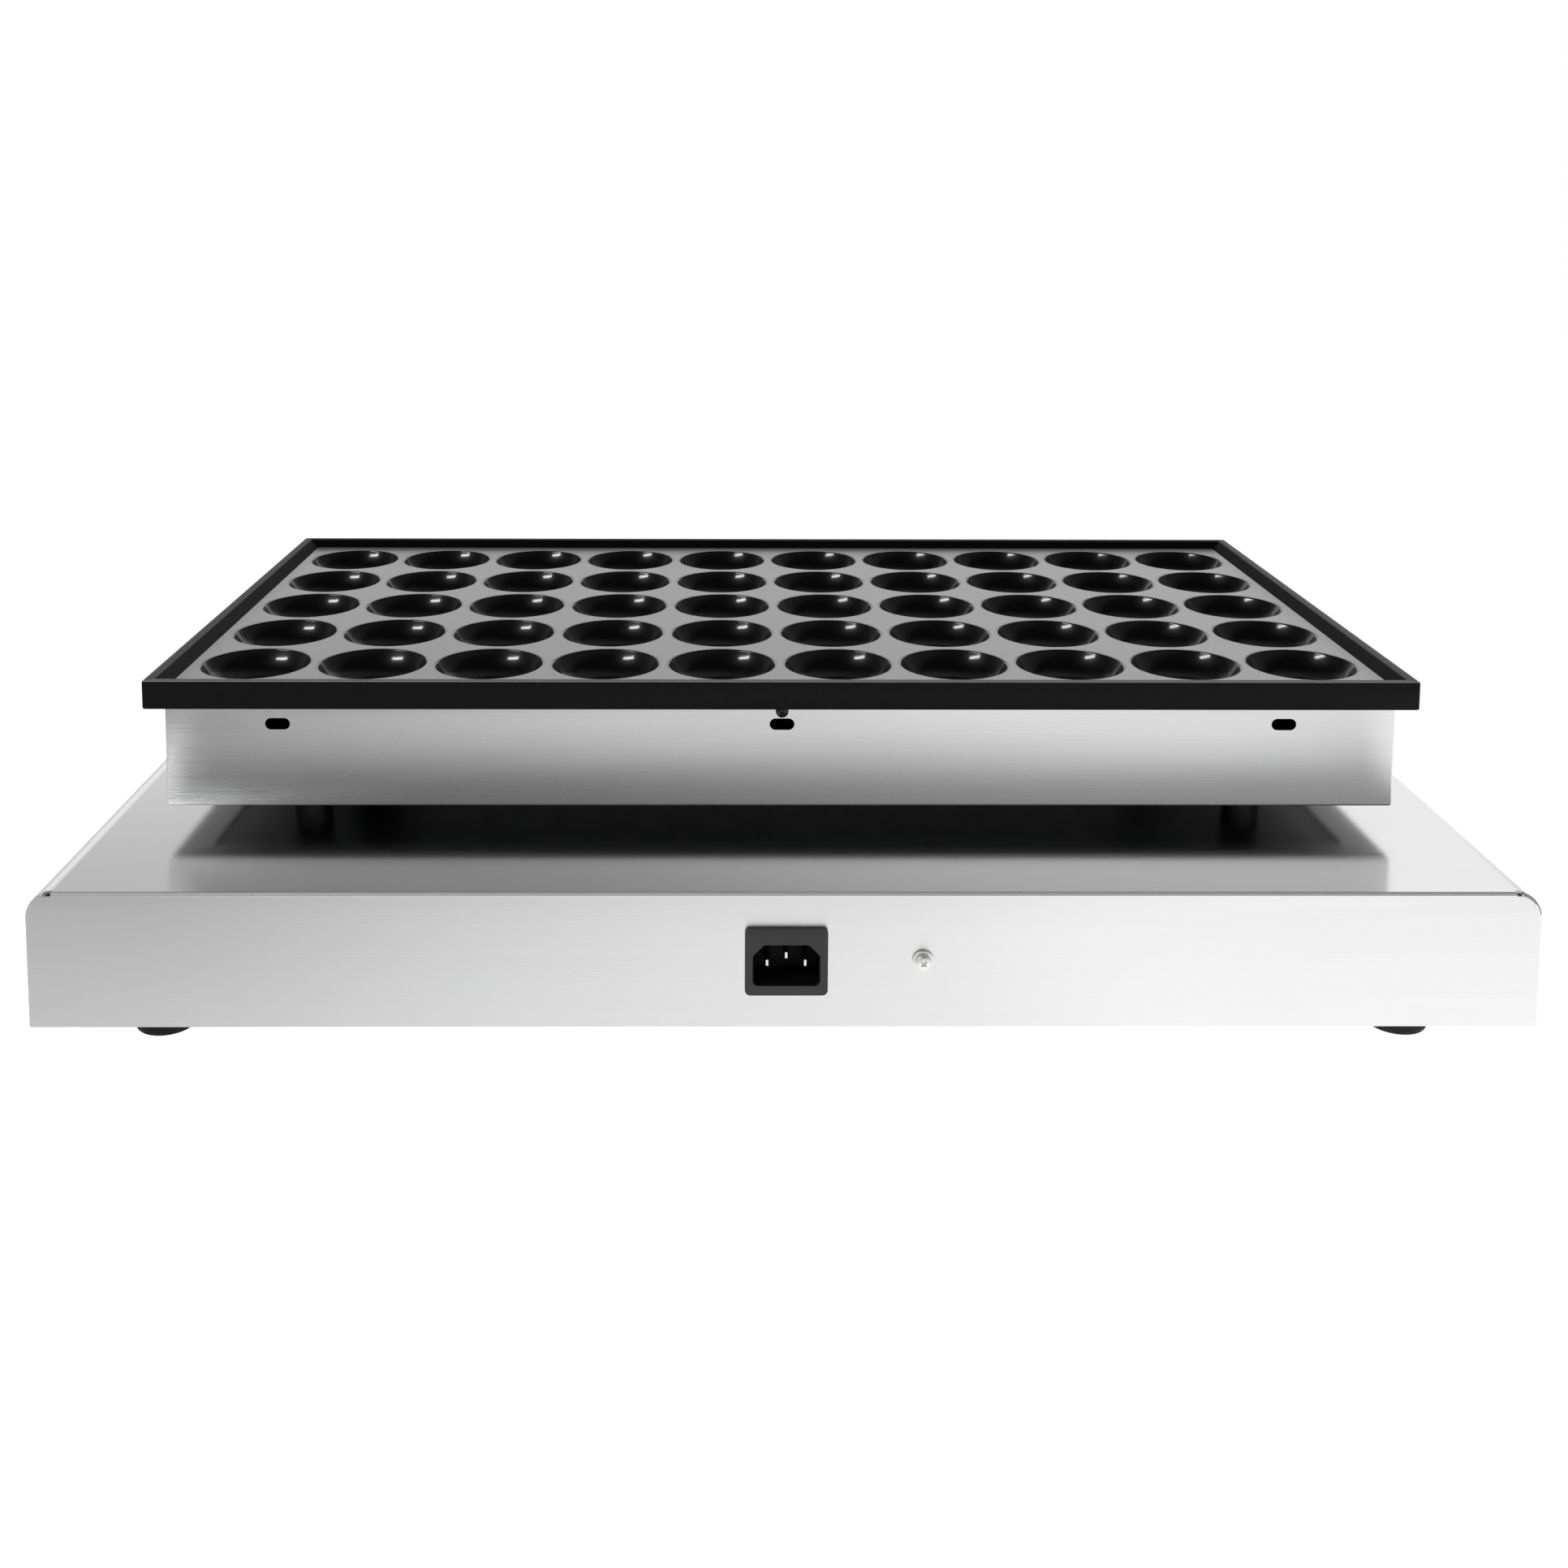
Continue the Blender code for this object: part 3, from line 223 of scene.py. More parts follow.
class Shell:
    """Builds one mesh out of loops of points."""

    def __init__(self):
        self.bm = bmesh.new()

    def loop(self, points):
        return [self.bm.verts.new(point) for point in points]

    def skin(self, first, second, material=0):
        """Quads between two closed loops of the same count."""
        count = len(first)
        for i in range(count):
            j = (i + 1) % count
            self.bm.faces.new((first[i], first[j], second[j], second[i])).material_index = material

    def loft(self, loops, material=0):
        """Skins each loop to the next one, and gives back the loops' points."""
        made = [self.loop(points) for points in loops]
        for first, second in zip(made, made[1:]):
            self.skin(first, second, material)
        return made

    def cap(self, loop, material=0):
        self.bm.faces.new(loop).material_index = material

    def solid(self, loops, material=0, first=None):
        """Lofts the loops and closes both ends; first is the material of the first end where it differs."""
        made = self.loft(loops, material)
        self.cap(made[0], material if first is None else first)
        self.cap(made[-1], material)

    def fill(self, outer, inner, material=0):
        """Flat faces between an outer loop and the loops inside it."""
        edges = []
        for loop in (outer, *inner):
            for i, point in enumerate(loop):
                after = loop[(i + 1) % len(loop)]
                edges.append(self.bm.edges.get((point, after)) or self.bm.edges.new((point, after)))
        made = bmesh.ops.triangle_fill(self.bm, use_beauty=True, use_dissolve=False, edges=edges)
        for face in made["geom"]:
            if isinstance(face, bmesh.types.BMFace):
                face.material_index = material

    def done(self, name, materials, body=GRILL, replaces=(), slot=None, sharp=35.0):
        bmesh.ops.remove_doubles(self.bm, verts=self.bm.verts, dist=1e-6)
        bmesh.ops.recalc_face_normals(self.bm, faces=self.bm.faces)
        mesh = bpy.data.meshes.new(name)
        self.bm.to_mesh(mesh)
        self.bm.free()
        piece = bpy.data.objects.new(name, mesh)
        scene.collection.objects.link(piece)
        for material in materials:
            mesh.materials.append(material)
        mesh.shade_smooth()
        mesh.set_sharp_from_angle(angle=math.radians(sharp))
        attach(piece, body)
        if replaces:
            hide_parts(*replaces)
        return piece


def rounded(half_x, half_y, radius, steps=4):
    """Points of a rectangle with round corners, anticlockwise, as (x, y)."""
    points = []
    for sx, sy, start in ((1, 1, 0.0), (-1, 1, 90.0), (-1, -1, 180.0), (1, -1, 270.0)):
        for step in range(steps + 1):
            angle = math.radians(start + 90.0 * step / steps)
            points.append((sx * (half_x - radius) + radius * math.cos(angle),
                           sy * (half_y - radius) + radius * math.sin(angle)))
    return points


def flat_loop(outline, z, centre=(0.0, 0.0)):
    """An outline laid level at a height."""
    return [Vector((centre[0] + x, centre[1] + y, z)) for x, y in outline]


def wall_loop(outline, y, centre):
    """An outline stood up in a plane that faces the front or the rear; centre is (x, z)."""
    return [Vector((centre[0] + x, y, centre[1] + z)) for x, z in outline]


def turned(name, profile, centre, axis, materials, steps=48, marks=(), shape=None, **rest):
    """Turns a profile of (radius, height) round an axis through centre. marks names the material of each band."""
    axis = Vector(axis)
    side = Vector((1.0, 0.0, 0.0)) if abs(axis.x) < 0.5 else Vector((0.0, 1.0, 0.0))
    other = axis.cross(side)
    shell = Shell()
    loops = []
    for radius, height in profile:
        points = []
        for step in range(steps):
            angle = 2 * math.pi * step / steps
            r = radius * (shape(angle, height) if shape else 1.0)
            point = Vector(centre) + axis * height + side * (r * math.cos(angle))
            points.append(point + other * (r * math.sin(angle)))
        loops.append(shell.loop(points) if radius > 0 else [shell.bm.verts.new(Vector(centre) + axis * height)])
    for i, (first, second) in enumerate(zip(loops, loops[1:])):
        material = marks[i] if i < len(marks) else 0
        if len(first) == 1 or len(second) == 1:
            tip, ring = (first[0], second) if len(first) == 1 else (second[0], first)
            for k in range(steps):
                shell.bm.faces.new((tip, ring[k], ring[(k + 1) % steps])).material_index = material
        else:
            shell.skin(first, second, material)
    return shell.done(name, materials, **rest)


def cutter(shell, name):
    """A closed shape that only cuts others, kept out of the object."""
    bmesh.ops.recalc_face_normals(shell.bm, faces=shell.bm.faces)
    mesh = bpy.data.meshes.new(name)
    shell.bm.to_mesh(mesh)
    shell.bm.free()
    return bpy.data.objects.new(name, mesh)


def prism(outline, y_from, y_to, centre):
    """A closed prism of an upright outline between two depths."""
    shell = Shell()
    shell.solid([wall_loop(outline, y_from, centre), wall_loop(outline, y_to, centre)])
    return shell


def pillar(outline, z_from, z_to, centre):
    """A closed prism of a level outline between two heights."""
    shell = Shell()
    shell.solid([flat_loop(outline, z_from, centre), flat_loop(outline, z_to, centre)])
    return shell


def circle(radius, steps=32):
    return [(radius * math.cos(2 * math.pi * i / steps), radius * math.sin(2 * math.pi * i / steps))
            for i in range(steps)]


def obround(length, width, steps=12):
    half, radius = (length - width) / 2, width / 2
    points = []
    for side in (1, -1):
        for step in range(steps + 1):
            angle = -math.pi / 2 + math.pi * step / steps
            points.append((side * (half + radius * math.cos(angle)), side * radius * math.sin(angle)))
    return points


def carve(piece, shells):
    """Takes shapes out of a piece for good."""
    for number, shell in enumerate(shells):
        tool = cutter(shell, f"{piece.name}_cut_{number}")
        scene.collection.objects.link(tool)
        boolean = piece.modifiers.new("cut", "BOOLEAN")
        boolean.operation = "DIFFERENCE"
        boolean.solver = "EXACT"
        boolean.object = tool
        bpy.context.view_layer.update()
        graph = bpy.context.evaluated_depsgraph_get()
        mesh = bpy.data.meshes.new_from_object(piece.evaluated_get(graph))
        piece.modifiers.clear()
        old = piece.data
        piece.data = mesh
        bpy.data.meshes.remove(old)
        bpy.data.objects.remove(tool, do_unlink=True)
    piece.data.shade_smooth()
    piece.data.set_sharp_from_angle(angle=math.radians(35.0))


# Baking plate: a satin top with fifty glossy cups inside a raised rim; the top's grey colour is painted sheen, and the
# light rings at the cups' lips and along the rim's outer edge are painted highlights


CUP_WALL_SHARES = (0.985, 0.975, 0.965, 0.952, 0.938, 0.922, 0.904, 0.884, 0.862, 0.838,
                   0.81, 0.78, 0.745, 0.70, 0.65, 0.58, 0.50, 0.40, 0.28, 0.14)
CUP_CURVE = 5.3
TOP_SHEEN, CUP, SIDE, LIP_HIGHLIGHT, RIM, SLOPE = range(6)


def cup_rings():
    """(radius, height) from the flat top over the rounded lip and down the cup's wall."""
    lip, turn = 0.0009, math.radians(66.0)
    start = CUP_RADIUS + lip * math.tan(turn / 2)
    rings = [(start + 0.0003, 0.0)]
    for step in range(5):
        angle = turn * step / 4
        rings.append((start - lip * math.sin(angle), -lip * (1 - math.cos(angle))))
    for share in CUP_WALL_SHARES:
        rings.append((CUP_RADIUS * share, -CUP_DEPTH * (1 - share ** CUP_CURVE)))
    return rings


def make_plate():
    z_top, z_low = plate_hi.z, plate_lo.z
    z_cups = z_top - 0.0035
    half_x, half_y = (plate_hi.x - plate_lo.x) / 2, (plate_hi.y - plate_lo.y) / 2
    around, per_side = 64, 16
    shell = Shell()
    bm = shell.bm
    rings = cup_rings()
    half = CUP_PITCH / 2
    corner_xs = [-half + CUP_PITCH * i / per_side for i in range(per_side)]
    square = [(half, x) for x in corner_xs] + [(-x, half) for x in corner_xs]
    square += [(-half, -x) for x in corner_xs] + [(x, -half) for x in corner_xs]
    for column in range(CUP_COLUMNS):
        for row in range(CUP_ROWS):
            cx = (column - (CUP_COLUMNS - 1) / 2) * CUP_PITCH
            cy = plate_y + (row - (CUP_ROWS - 1) / 2) * CUP_PITCH
            before = shell.loop(flat_loop(square, z_cups, (cx, cy)))
            for number, (radius, z) in enumerate(rings):
                points = [(radius * math.cos(angle), radius * math.sin(angle)) for angle in
                          (2 * math.pi * (i / around) - math.pi / 4 for i in range(around))]
                here = shell.loop(flat_loop(points, z_cups + z, (cx, cy)))
                # a thin ring at the cup's edge and the upper part of its rounding take the light grey of a painted
                # highlight
                shell.skin(before, here, (TOP_SHEEN, LIP_HIGHLIGHT, LIP_HIGHLIGHT, LIP_HIGHLIGHT)[number] if number < 4 else CUP)
                before = here
            bottom = bm.verts.new((cx, cy, z_cups - CUP_DEPTH))
            for i in range(around):
                bm.faces.new((before[i], before[(i + 1) % around], bottom)).material_index = CUP
    bmesh.ops.remove_doubles(bm, verts=bm.verts, dist=1e-6)
    outer = [edge for edge in bm.edges if len(edge.link_faces) == 1]
    # the rim from its foot up the slope, over the flat top and down the outer face, as (inset, height, corner radius)
    face, slope, round_off = 0.0035, 0.0055, 0.0005
    step_x = face + slope
    bands = [
        (step_x + 0.0004, z_cups, 0.0006), (step_x, z_cups + 0.00005, 0.0006),
        (step_x - 0.0005, z_cups + 0.0004, 0.0008), (face + 0.0006, z_top - 0.0003, 0.0009),
        (face + 0.0001, z_top - 0.00002, 0.0010), (round_off + 0.00015, z_top, 0.0010),
        (round_off, z_top, 0.0010), (round_off * 0.3, z_top - round_off * 0.3, 0.0011),
        (0.0, z_top - round_off, 0.0011), (0.0, rim_bottom + round_off, 0.0011),
        (round_off * 0.3, rim_bottom + round_off * 0.3, 0.0011), (round_off, rim_bottom, 0.0010),
    ]
    made = [shell.loop(flat_loop(rounded(half_x - inset, half_y - inset, radius), z, (0.0, plate_y)))
            for inset, z, radius in bands]
    # the narrow outer edge of the rim takes the light grey of a painted highlight
    marks = (TOP_SHEEN, SLOPE, SLOPE, RIM, RIM, LIP_HIGHLIGHT, LIP_HIGHLIGHT, SIDE, SIDE, SIDE, SIDE)
    for mark, first, second in zip(marks, made, made[1:]):
        shell.skin(first, second, mark)
    # the flat top between the cups and inside the rim takes the grey of painted sheen
    edges = outer + [bm.edges.get((made[0][i], made[0][(i + 1) % len(made[0])])) for i in range(len(made[0]))]
    filled = bmesh.ops.triangle_fill(bm, use_beauty=True, use_dissolve=False, edges=edges)
    for part in filled["geom"]:
        if isinstance(part, bmesh.types.BMFace):
            part.material_index = TOP_SHEEN
    body_x, body_y = (house_hi.x - WALL - 0.002), (house_hi.y - house_lo.y) / 2 - WALL - 0.002
    body = shell.loft([flat_loop(rounded(body_x, body_y, 0.002), rim_bottom, (0.0, plate_y)),
                       flat_loop(rounded(body_x, body_y, 0.002), z_low + 0.0005, (0.0, plate_y)),
                       flat_loop(rounded(body_x - 0.0005, body_y - 0.0005, 0.002), z_low, (0.0, plate_y))], SIDE)
    shell.fill(made[-1], [body[0]], SIDE)
    shell.cap(body[-1], SIDE)
    looks = [cast_top_sheen, cast_cup, cast_side, cast_lip_highlight, cast_rim, cast_slope]
    shell.done("plate_cast", looks, replaces=["baking_plate"], slot="cast", sharp=50.0)


make_plate()


# Base cover: folded sheet with wide bends at the ends and a tight fold at the front and the rear


def arch(inset, bend=BASE_BEND, steps=10):
    """The cover's outline from the lower left, up and over to the lower right, as (x, z), moved in by inset."""
    half, top = base_hi.x - inset, base_hi.z - inset
    radius = bend - inset
    points = [(-half, base_lo.z)]
    for step in range(steps + 1):
        angle = math.radians(180.0 - 90.0 * step / steps)
        points.append((-half + radius + radius * math.cos(angle), top - radius + radius * math.sin(angle)))
    for step in range(steps + 1):
        angle = math.radians(90.0 - 90.0 * step / steps)
        points.append((half - radius + radius * math.cos(angle), top - radius + radius * math.sin(angle)))
    points.append((half, base_lo.z))
    return points


def make_cover():
    y_rear, y_front = base_lo.y, base_hi.y
    fold, fold_steps = 0.0011, 5
    shell = Shell()

    def strip(loops, material=0):
        made = [shell.loop([Vector((x, y, z)) for x, z in outline]) for outline, y in loops]
        for first, second in zip(made, made[1:]):
            for i in range(len(first) - 1):
                shell.bm.faces.new((first[i], first[i + 1], second[i + 1], second[i])).material_index = material
        return made

    rows = []
    for step in range(fold_steps + 1):
        angle = math.radians(90.0 * step / fold_steps)
        rows.append((arch(fold * (1 - math.sin(angle))), y_rear + fold * (1 - math.cos(angle))))
    seam = 0.00025
    grooved = arch(0.0)
    sunk = []
    for x, z in grooved:
        on_side = z < base_hi.z - 0.0035
        sunk.append((x - math.copysign(seam, x) if on_side else x, z))
    rows.append((grooved, y_rear + fold + 0.00015))
    rows.append((sunk, y_rear + fold + 0.00025))
    rows.append((sunk, y_rear + fold + 0.00055))
    rows.append((grooved, y_rear + fold + 0.00065))
    back = [(outline, y_front + y_rear - y) for outline, y in reversed(rows)]
    outer = strip(rows + back)
    inner = strip([(arch(SHEET), y_rear + SHEET), (arch(SHEET), y_front - SHEET)])
    shell.cap(outer[0])
    shell.cap(outer[-1])
    shell.cap(inner[0])
    shell.cap(inner[-1])
    rims = [edge for edge in shell.bm.edges if len(edge.link_faces) == 1]
    bmesh.ops.triangle_fill(shell.bm, use_beauty=True, use_dissolve=False, edges=rims)
    cover = shell.done("cover_sheet", [steel], replaces=["base_cover"], slot="steel", sharp=30.0)
    cuts = []
    notch = rounded(NOTCH_WIDTH / 2, NOTCH_REACH, 0.0006)
    for side in (-1, 1):
        x = side * (base_hi.x - BASE_BEND + NOTCH_WIDTH / 2)
        for y in (y_rear, y_front):
            cuts.append(pillar(notch, base_hi.z - NOTCH_HEIGHT, base_hi.z + NOTCH_HEIGHT, (x, y)))
    inlet_c = (0.0, base_mid_z)
    cuts.append(prism(rounded(0.0146, 0.0103, 0.0008), y_rear - 0.002, y_rear + 0.003, inlet_c))
    for node, radius, y in (("earth_screw", 0.0022, y_rear), ("thermostat_knob", 0.0033, y_front),
                            ("timer_knob", 0.0033, y_front), ("power_lamp", 0.0049, y_front),
                            ("heat_lamp", 0.0049, y_front)):
        lo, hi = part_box(node)
        cuts.append(prism(circle(radius, 24), y - 0.003, y + 0.003, ((lo.x + hi.x) / 2, base_mid_z)))
    lo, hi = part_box("switch_body")
    hole = rounded(0.0108, 0.01405, 0.0005)
    cuts.append(prism(hole, y_front - 0.003, y_front + 0.002, ((lo.x + hi.x) / 2, base_mid_z)))
    through = [(f"standoff_{number}", 0.0033, 20) for number in (1, 2, 3, 4)] + [("conduit", 0.0113, 28)]
    for node, radius, steps in through:
        lo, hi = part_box(node)
        where = ((lo.x + hi.x) / 2, (lo.y + hi.y) / 2)
        cuts.append(pillar(circle(radius, steps), base_hi.z - 0.003, base_hi.z + 0.002, where))
    carve(cover, cuts)
    cover.data.materials.append(steel_top)
    cover.data.materials.append(steel_fold_highlight)
    # faces facing up take the top finish; faces on the front and rear folds take the near-white copy of the steel, a
    # painted highlight along the bend
    for face in cover.data.polygons:
        if face.normal.z > 0.95:
            face.material_index = 1
        elif face.normal.z > 0.1 and abs(face.normal.y) > 0.1:
            face.material_index = 2


make_cover()


# Housing: four walls with folded corners and a lip turned in at the bottom


def make_housing():
    half_x = house_hi.x
    half_y = (house_hi.y - house_lo.y) / 2
    low, high = house_lo.z, house_hi.z
    shell = Shell()
    fold, corner, lip = 0.0009, 0.0008, 0.014
    bands = [(0.0, high, corner), (0.0, low + fold, corner)]
    for step in range(1, 5):
        angle = math.radians(90.0 * step / 4)
        bands.append((fold * (1 - math.cos(angle)), low + fold * (1 - math.sin(angle)), corner))
    bands += [(lip, low, 0.0004), (lip, low + WALL, 0.0004), (WALL, low + WALL, 0.0004), (WALL, high, 0.0004)]
    made = shell.loft([flat_loop(rounded(half_x - inset, half_y - inset, radius, 3), z, (0.0, plate_y))
                       for inset, z, radius in bands])
    shell.skin(made[-1], made[0])
    housing = shell.done("housing_sheet", [steel], replaces=["grill_housing"], slot="steel", sharp=30.0)
    y_rear, y_front = house_lo.y, house_hi.y
    slot = obround(0.0101, 0.0048)
    cuts = [prism(slot, y_rear - 0.002, y_rear + 0.003, (x, rim_bottom - SLOT_DROP))
            for x in (-SLOT_PITCH, 0.0, SLOT_PITCH)]
    for y in (y_rear, y_front):
        cuts.append(prism(circle(0.0021, 20), y - 0.003, y + 0.003, (0.0, rim_bottom - PLATE_SCREW_DROP)))
    carve(housing, cuts)
    housing.data.materials.append(steel_painted_shade)
    within_x, within_y = half_x - WALL * 0.9, half_y - WALL * 0.9
    # the underside and the inner faces take the dark copy of the steel, which is painted shade
    for face in housing.data.polygons:
        inside = abs(face.center.x) < within_x and abs(face.center.y - plate_y) < within_y
        if face.normal.z < -0.95 or inside:
            face.material_index = 1


make_housing()


# Power inlet: flange, socket and three blades

SOCKET_HALF_X, SOCKET_HALF_Z = 0.0127, 0.0080


def socket_outline(inset=0.0):
    """The six-sided mouth of the socket with its corners eased."""
    w, h = SOCKET_HALF_X - inset, SOCKET_HALF_Z - inset
    top, low = 0.0042, 0.0012
    corners = [(w, -h + low), (w, h - top), (w - top, h), (-w + top, h), (-w, h - top), (-w, -h + low),
               (-w + low, -h), (w - low, -h)]
    points = []
    for i, (x, z) in enumerate(corners):
        before, after = Vector(corners[i - 1]), Vector(corners[(i + 1) % len(corners)])
        here = Vector((x, z))
        ease = min(0.0005, (here - before).length / 3, (after - here).length / 3)
        start = here + (before - here).normalized() * ease
        end = here + (after - here).normalized() * ease
        for t in (0.0, 0.5, 1.0):
            point = start * (1 - t) ** 2 + here * 2 * t * (1 - t) + end * t ** 2
            points.append((point.x, point.y))
    return points


def make_inlet():
    lo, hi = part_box("inlet_body")
    y_face, y_back = lo.y, hi.y
    y_flange = y_face + 0.0018
    z_socket = base_mid_z - 0.0012
    centre = (0.0, base_mid_z)
    shell = Shell()
    half_x, half_z, corner = 0.0156, 0.0131, 0.0020
    bands = [(0.00035, y_face), (0.0001, y_face + 0.0001), (0.0, y_face + 0.00035), (0.0, y_flange)]
    made = [shell.loop(wall_loop(rounded(half_x - inset, half_z - inset, corner, 5), y, centre)) for inset, y in bands]
    for first, second in zip(made, made[1:]):
        shell.skin(first, second)
    # the neck and the socket's hole (material 1) take the near-black copy of the grey plastic: painted shade
    neck = [wall_loop(rounded(0.0143, 0.0100, 0.0006, 5), y, centre) for y in (y_flange, y_back)]
    neck = shell.loft(neck, 1)
    shell.fill(made[-1], [neck[0]])
    shell.cap(neck[-1], 1)
    deep = y_face + 0.0150
    mouth = [(0.0, y_face), (0.0003, y_face + 0.0004), (0.0004, deep - 0.0006), (0.0009, deep)]
    hole = shell.loft([wall_loop(socket_outline(inset), y, (0.0, z_socket)) for inset, y in mouth], 1)
    shell.fill(made[0], [hole[0]])
    shell.cap(hole[-1], 1)
    shell.done("inlet_shell", [grey_plastic, plastic_hole_shade], replaces=["inlet_body"], slot="grey_plastic", sharp=40.0)
    for pin in ("line", "earth", "neutral"):
        lo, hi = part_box(f"inlet_pin_{pin}")
        where = ((lo.x + hi.x) / 2, (lo.z + hi.z) / 2)
        blade = Shell()
        w, h = (hi.x - lo.x) / 2, (hi.z - lo.z) / 2
        rows = [(w * 0.45, h * 0.60, lo.y), (w * 0.55, h * 0.68, lo.y + 0.00012), (w, h, lo.y + 0.0016), (w, h, hi.y)]
        # the blade's tip is nickel; its sides and back take the dark copy of the steel, painted shade
        blade.solid([wall_loop(rounded(a, b, 0.0003, 3), y, where) for a, b, y in rows], 1, first=0)
        blade.done(f"blade_{pin}", [nickel, steel_painted_shade], replaces=[f"inlet_pin_{pin}"], slot="nickel")


make_inlet()


# Screws with their recesses


def cross_cut(centre, depth, axis_y, reach=0.0017, width=0.00045, turn=0.0):
    """A tapered cross for a screw's recess, as two closed wedges."""
    x, y, z = centre
    wedges = []
    for along_x in (True, False):
        shell = Shell()
        top = (reach, width) if along_x else (width, reach)
        low = (top[0] * 0.55, top[1] * 0.55)
        rows = [(top, y - axis_y * 0.0008), (low, y + axis_y * depth)]
        c, s = math.cos(turn), math.sin(turn)
        loops = []
        for (a, b), yy in rows:
            outline = [(px * c - pz * s, px * s + pz * c) for px, pz in rounded(a, b, min(a, b) * 0.45, 2)]
            loops.append(wall_loop(outline, yy, (x, z)))
        shell.solid(loops)
        wedges.append(shell)
    return wedges


def pan_head(radius, height, steps=5, edge=0.30):
    """A crowned screw head from its middle to its edge, as (radius, height); edge is the share left at the edge."""
    points = [(0.0, height)]
    whole = math.radians(72.0)
    for step in range(1, steps + 1):
        angle = math.radians(72.0 * step / steps)
        crown = height * (edge + (1 - edge) * (math.cos(angle) - math.cos(whole)) / (1 - math.cos(whole)))
        points.append((radius * math.sin(angle) / math.sin(whole), crown))
    return points + [(radius, 0.0)]


def make_screws():
    lo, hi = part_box("earth_screw")
    x, z = (lo.x + hi.x) / 2, (lo.z + hi.z) / 2
    head_height, radius = 0.0022, 0.0029
    y_head = lo.y + head_height
    shank = [(0.0019, 0.0), (0.0019, -(hi.y - y_head)), (0.0, -(hi.y - y_head))]
    # the earth screw and its washer take the lighter copy of the zinc, painted light
    screw = turned("earth_screw_fine", pan_head(radius, head_height, edge=0.6) + shank, (x, y_head, z),
                   (0.0, -1.0, 0.0), [zinc_painted_light], replaces=["earth_screw"], slot="zinc")
    carve(screw, cross_cut((x, lo.y, z), 0.0013, 1.0, turn=math.radians(45.0)))
    lo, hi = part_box("earth_washer")
    y_mid, half = (lo.y + hi.y) / 2, (hi.y - lo.y) / 2
    ring = [(0.0022, half), (0.0038, half), (0.0041, half * 0.5), (0.0041, -half), (0.0022, -half), (0.0022, half)]
    turned("washer_fine", ring, (x, y_mid, z), (0.0, -1.0, 0.0), [zinc_painted_light],
           replaces=["earth_washer"], slot="zinc")
    for side, way in (("rear", -1.0), ("front", 1.0)):
        lo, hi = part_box(f"plate_screw_{side}")
        z = (lo.z + hi.z) / 2
        face = house_lo.y - GAP if way < 0 else house_hi.y + GAP
        length = (hi.y - face) if way < 0 else (face - lo.y)
        profile = pan_head(0.0026, 0.0020) + [(0.0018, 0.0), (0.0018, -length), (0.0, -length)]
        screw = turned(f"plate_screw_{side}_fine", profile, (0.0, face, z), (0.0, way, 0.0), [dark_steel],
                       replaces=[f"plate_screw_{side}"], slot="dark_steel", steps=32)
        carve(screw, cross_cut((0.0, face + way * 0.0020, z), 0.0010, -way, 0.0013, 0.0004))


make_screws()


# Feet and spacers

for number in (1, 2, 3, 4):
    lo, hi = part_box(f"foot_{number}")
    x, y = (lo.x + hi.x) / 2, (lo.y + hi.y) / 2
    height = hi.z
    profile = [(0.0023, height), (0.0122, height), (0.0122, height * 0.72), (0.0121, height * 0.40),
               (0.0119, height * 0.16), (0.0116, height * 0.04), (0.0112, 0.0), (0.0056, 0.0), (0.0048, 0.0006),
               (0.0048, 0.0055), (0.0023, 0.0055), (0.0023, height)]
    turned(f"foot_{number}_fine", profile, (x, y, 0.0), (0.0, 0.0, 1.0), [rubber],
           replaces=[f"foot_{number}"], slot="rubber")
    lo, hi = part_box(f"standoff_{number}")
    x, y = (lo.x + hi.x) / 2, (lo.y + hi.y) / 2
    z0, z1 = base_hi.z + GAP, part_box("housing_floor")[0].z - GAP
    profile = [(0.0, hi.z), (0.0028, hi.z), (0.003, hi.z - 0.0002), (0.003, z1), (0.0076, z1),
               (0.008, z1 - 0.0004), (0.008, z0 + 0.0004), (0.0076, z0), (0.003, z0),
               (0.003, lo.z + 0.0003), (0.0027, lo.z), (0.0, lo.z)]
    turned(f"spacer_{number}", profile, (x, y, 0.0), (0.0, 0.0, 1.0), [dark_steel],
           replaces=[f"standoff_{number}"], slot="dark_steel", steps=32)


# Knobs with fluted grips, and the marks round them


def make_knob(which, body):
    lo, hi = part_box(f"{which}_knob")
    x, z = (lo.x + hi.x) / 2, base_mid_z
    y_foot = hi.y - KNOB_HEIGHT
    flutes = 18

    def grip(angle, height):
        if 0.0042 < height < 0.0190:
            wave = 0.5 + 0.5 * math.cos(angle * flutes)
            return 1.0 - 0.045 * wave ** 3
        return 1.0

    profile = [(0.0, 0.0186), (0.0118, 0.0186), (0.0124, 0.0190), (0.0127, KNOB_HEIGHT), (0.0140, KNOB_HEIGHT),
               (0.0147, 0.0191), (0.0150, 0.0183), (0.0154, 0.0140), (0.0159, 0.0090), (0.0164, 0.0046),
               (0.0166, 0.0038), (0.0170, 0.0035), (0.0188, 0.0034), (0.0194, 0.0029), (0.0195, 0.0022),
               (0.0195, 0.0), (0.003, 0.0), (0.003, -0.016), (0.0, -0.016)]
    turned(f"{which}_knob_fine", profile, (x, y_foot, z), (0.0, 1.0, 0.0), [black_plastic], steps=144, shape=grip,
           body=body, replaces=[f"{which}_knob"], slot="black_plastic", sharp=40.0)
    line = Shell()
    line.solid([wall_loop(rounded(0.0007, 0.0046, 0.0006, 4), y, (x, z + 0.0071))
                for y in (y_foot + 0.0180, y_foot + 0.01885)])
    line.done(f"{which}_line", [white_paint], body=body, slot="black_plastic")


make_knob("thermostat", "thermostat_dial")
make_knob("timer", "timer_dial")


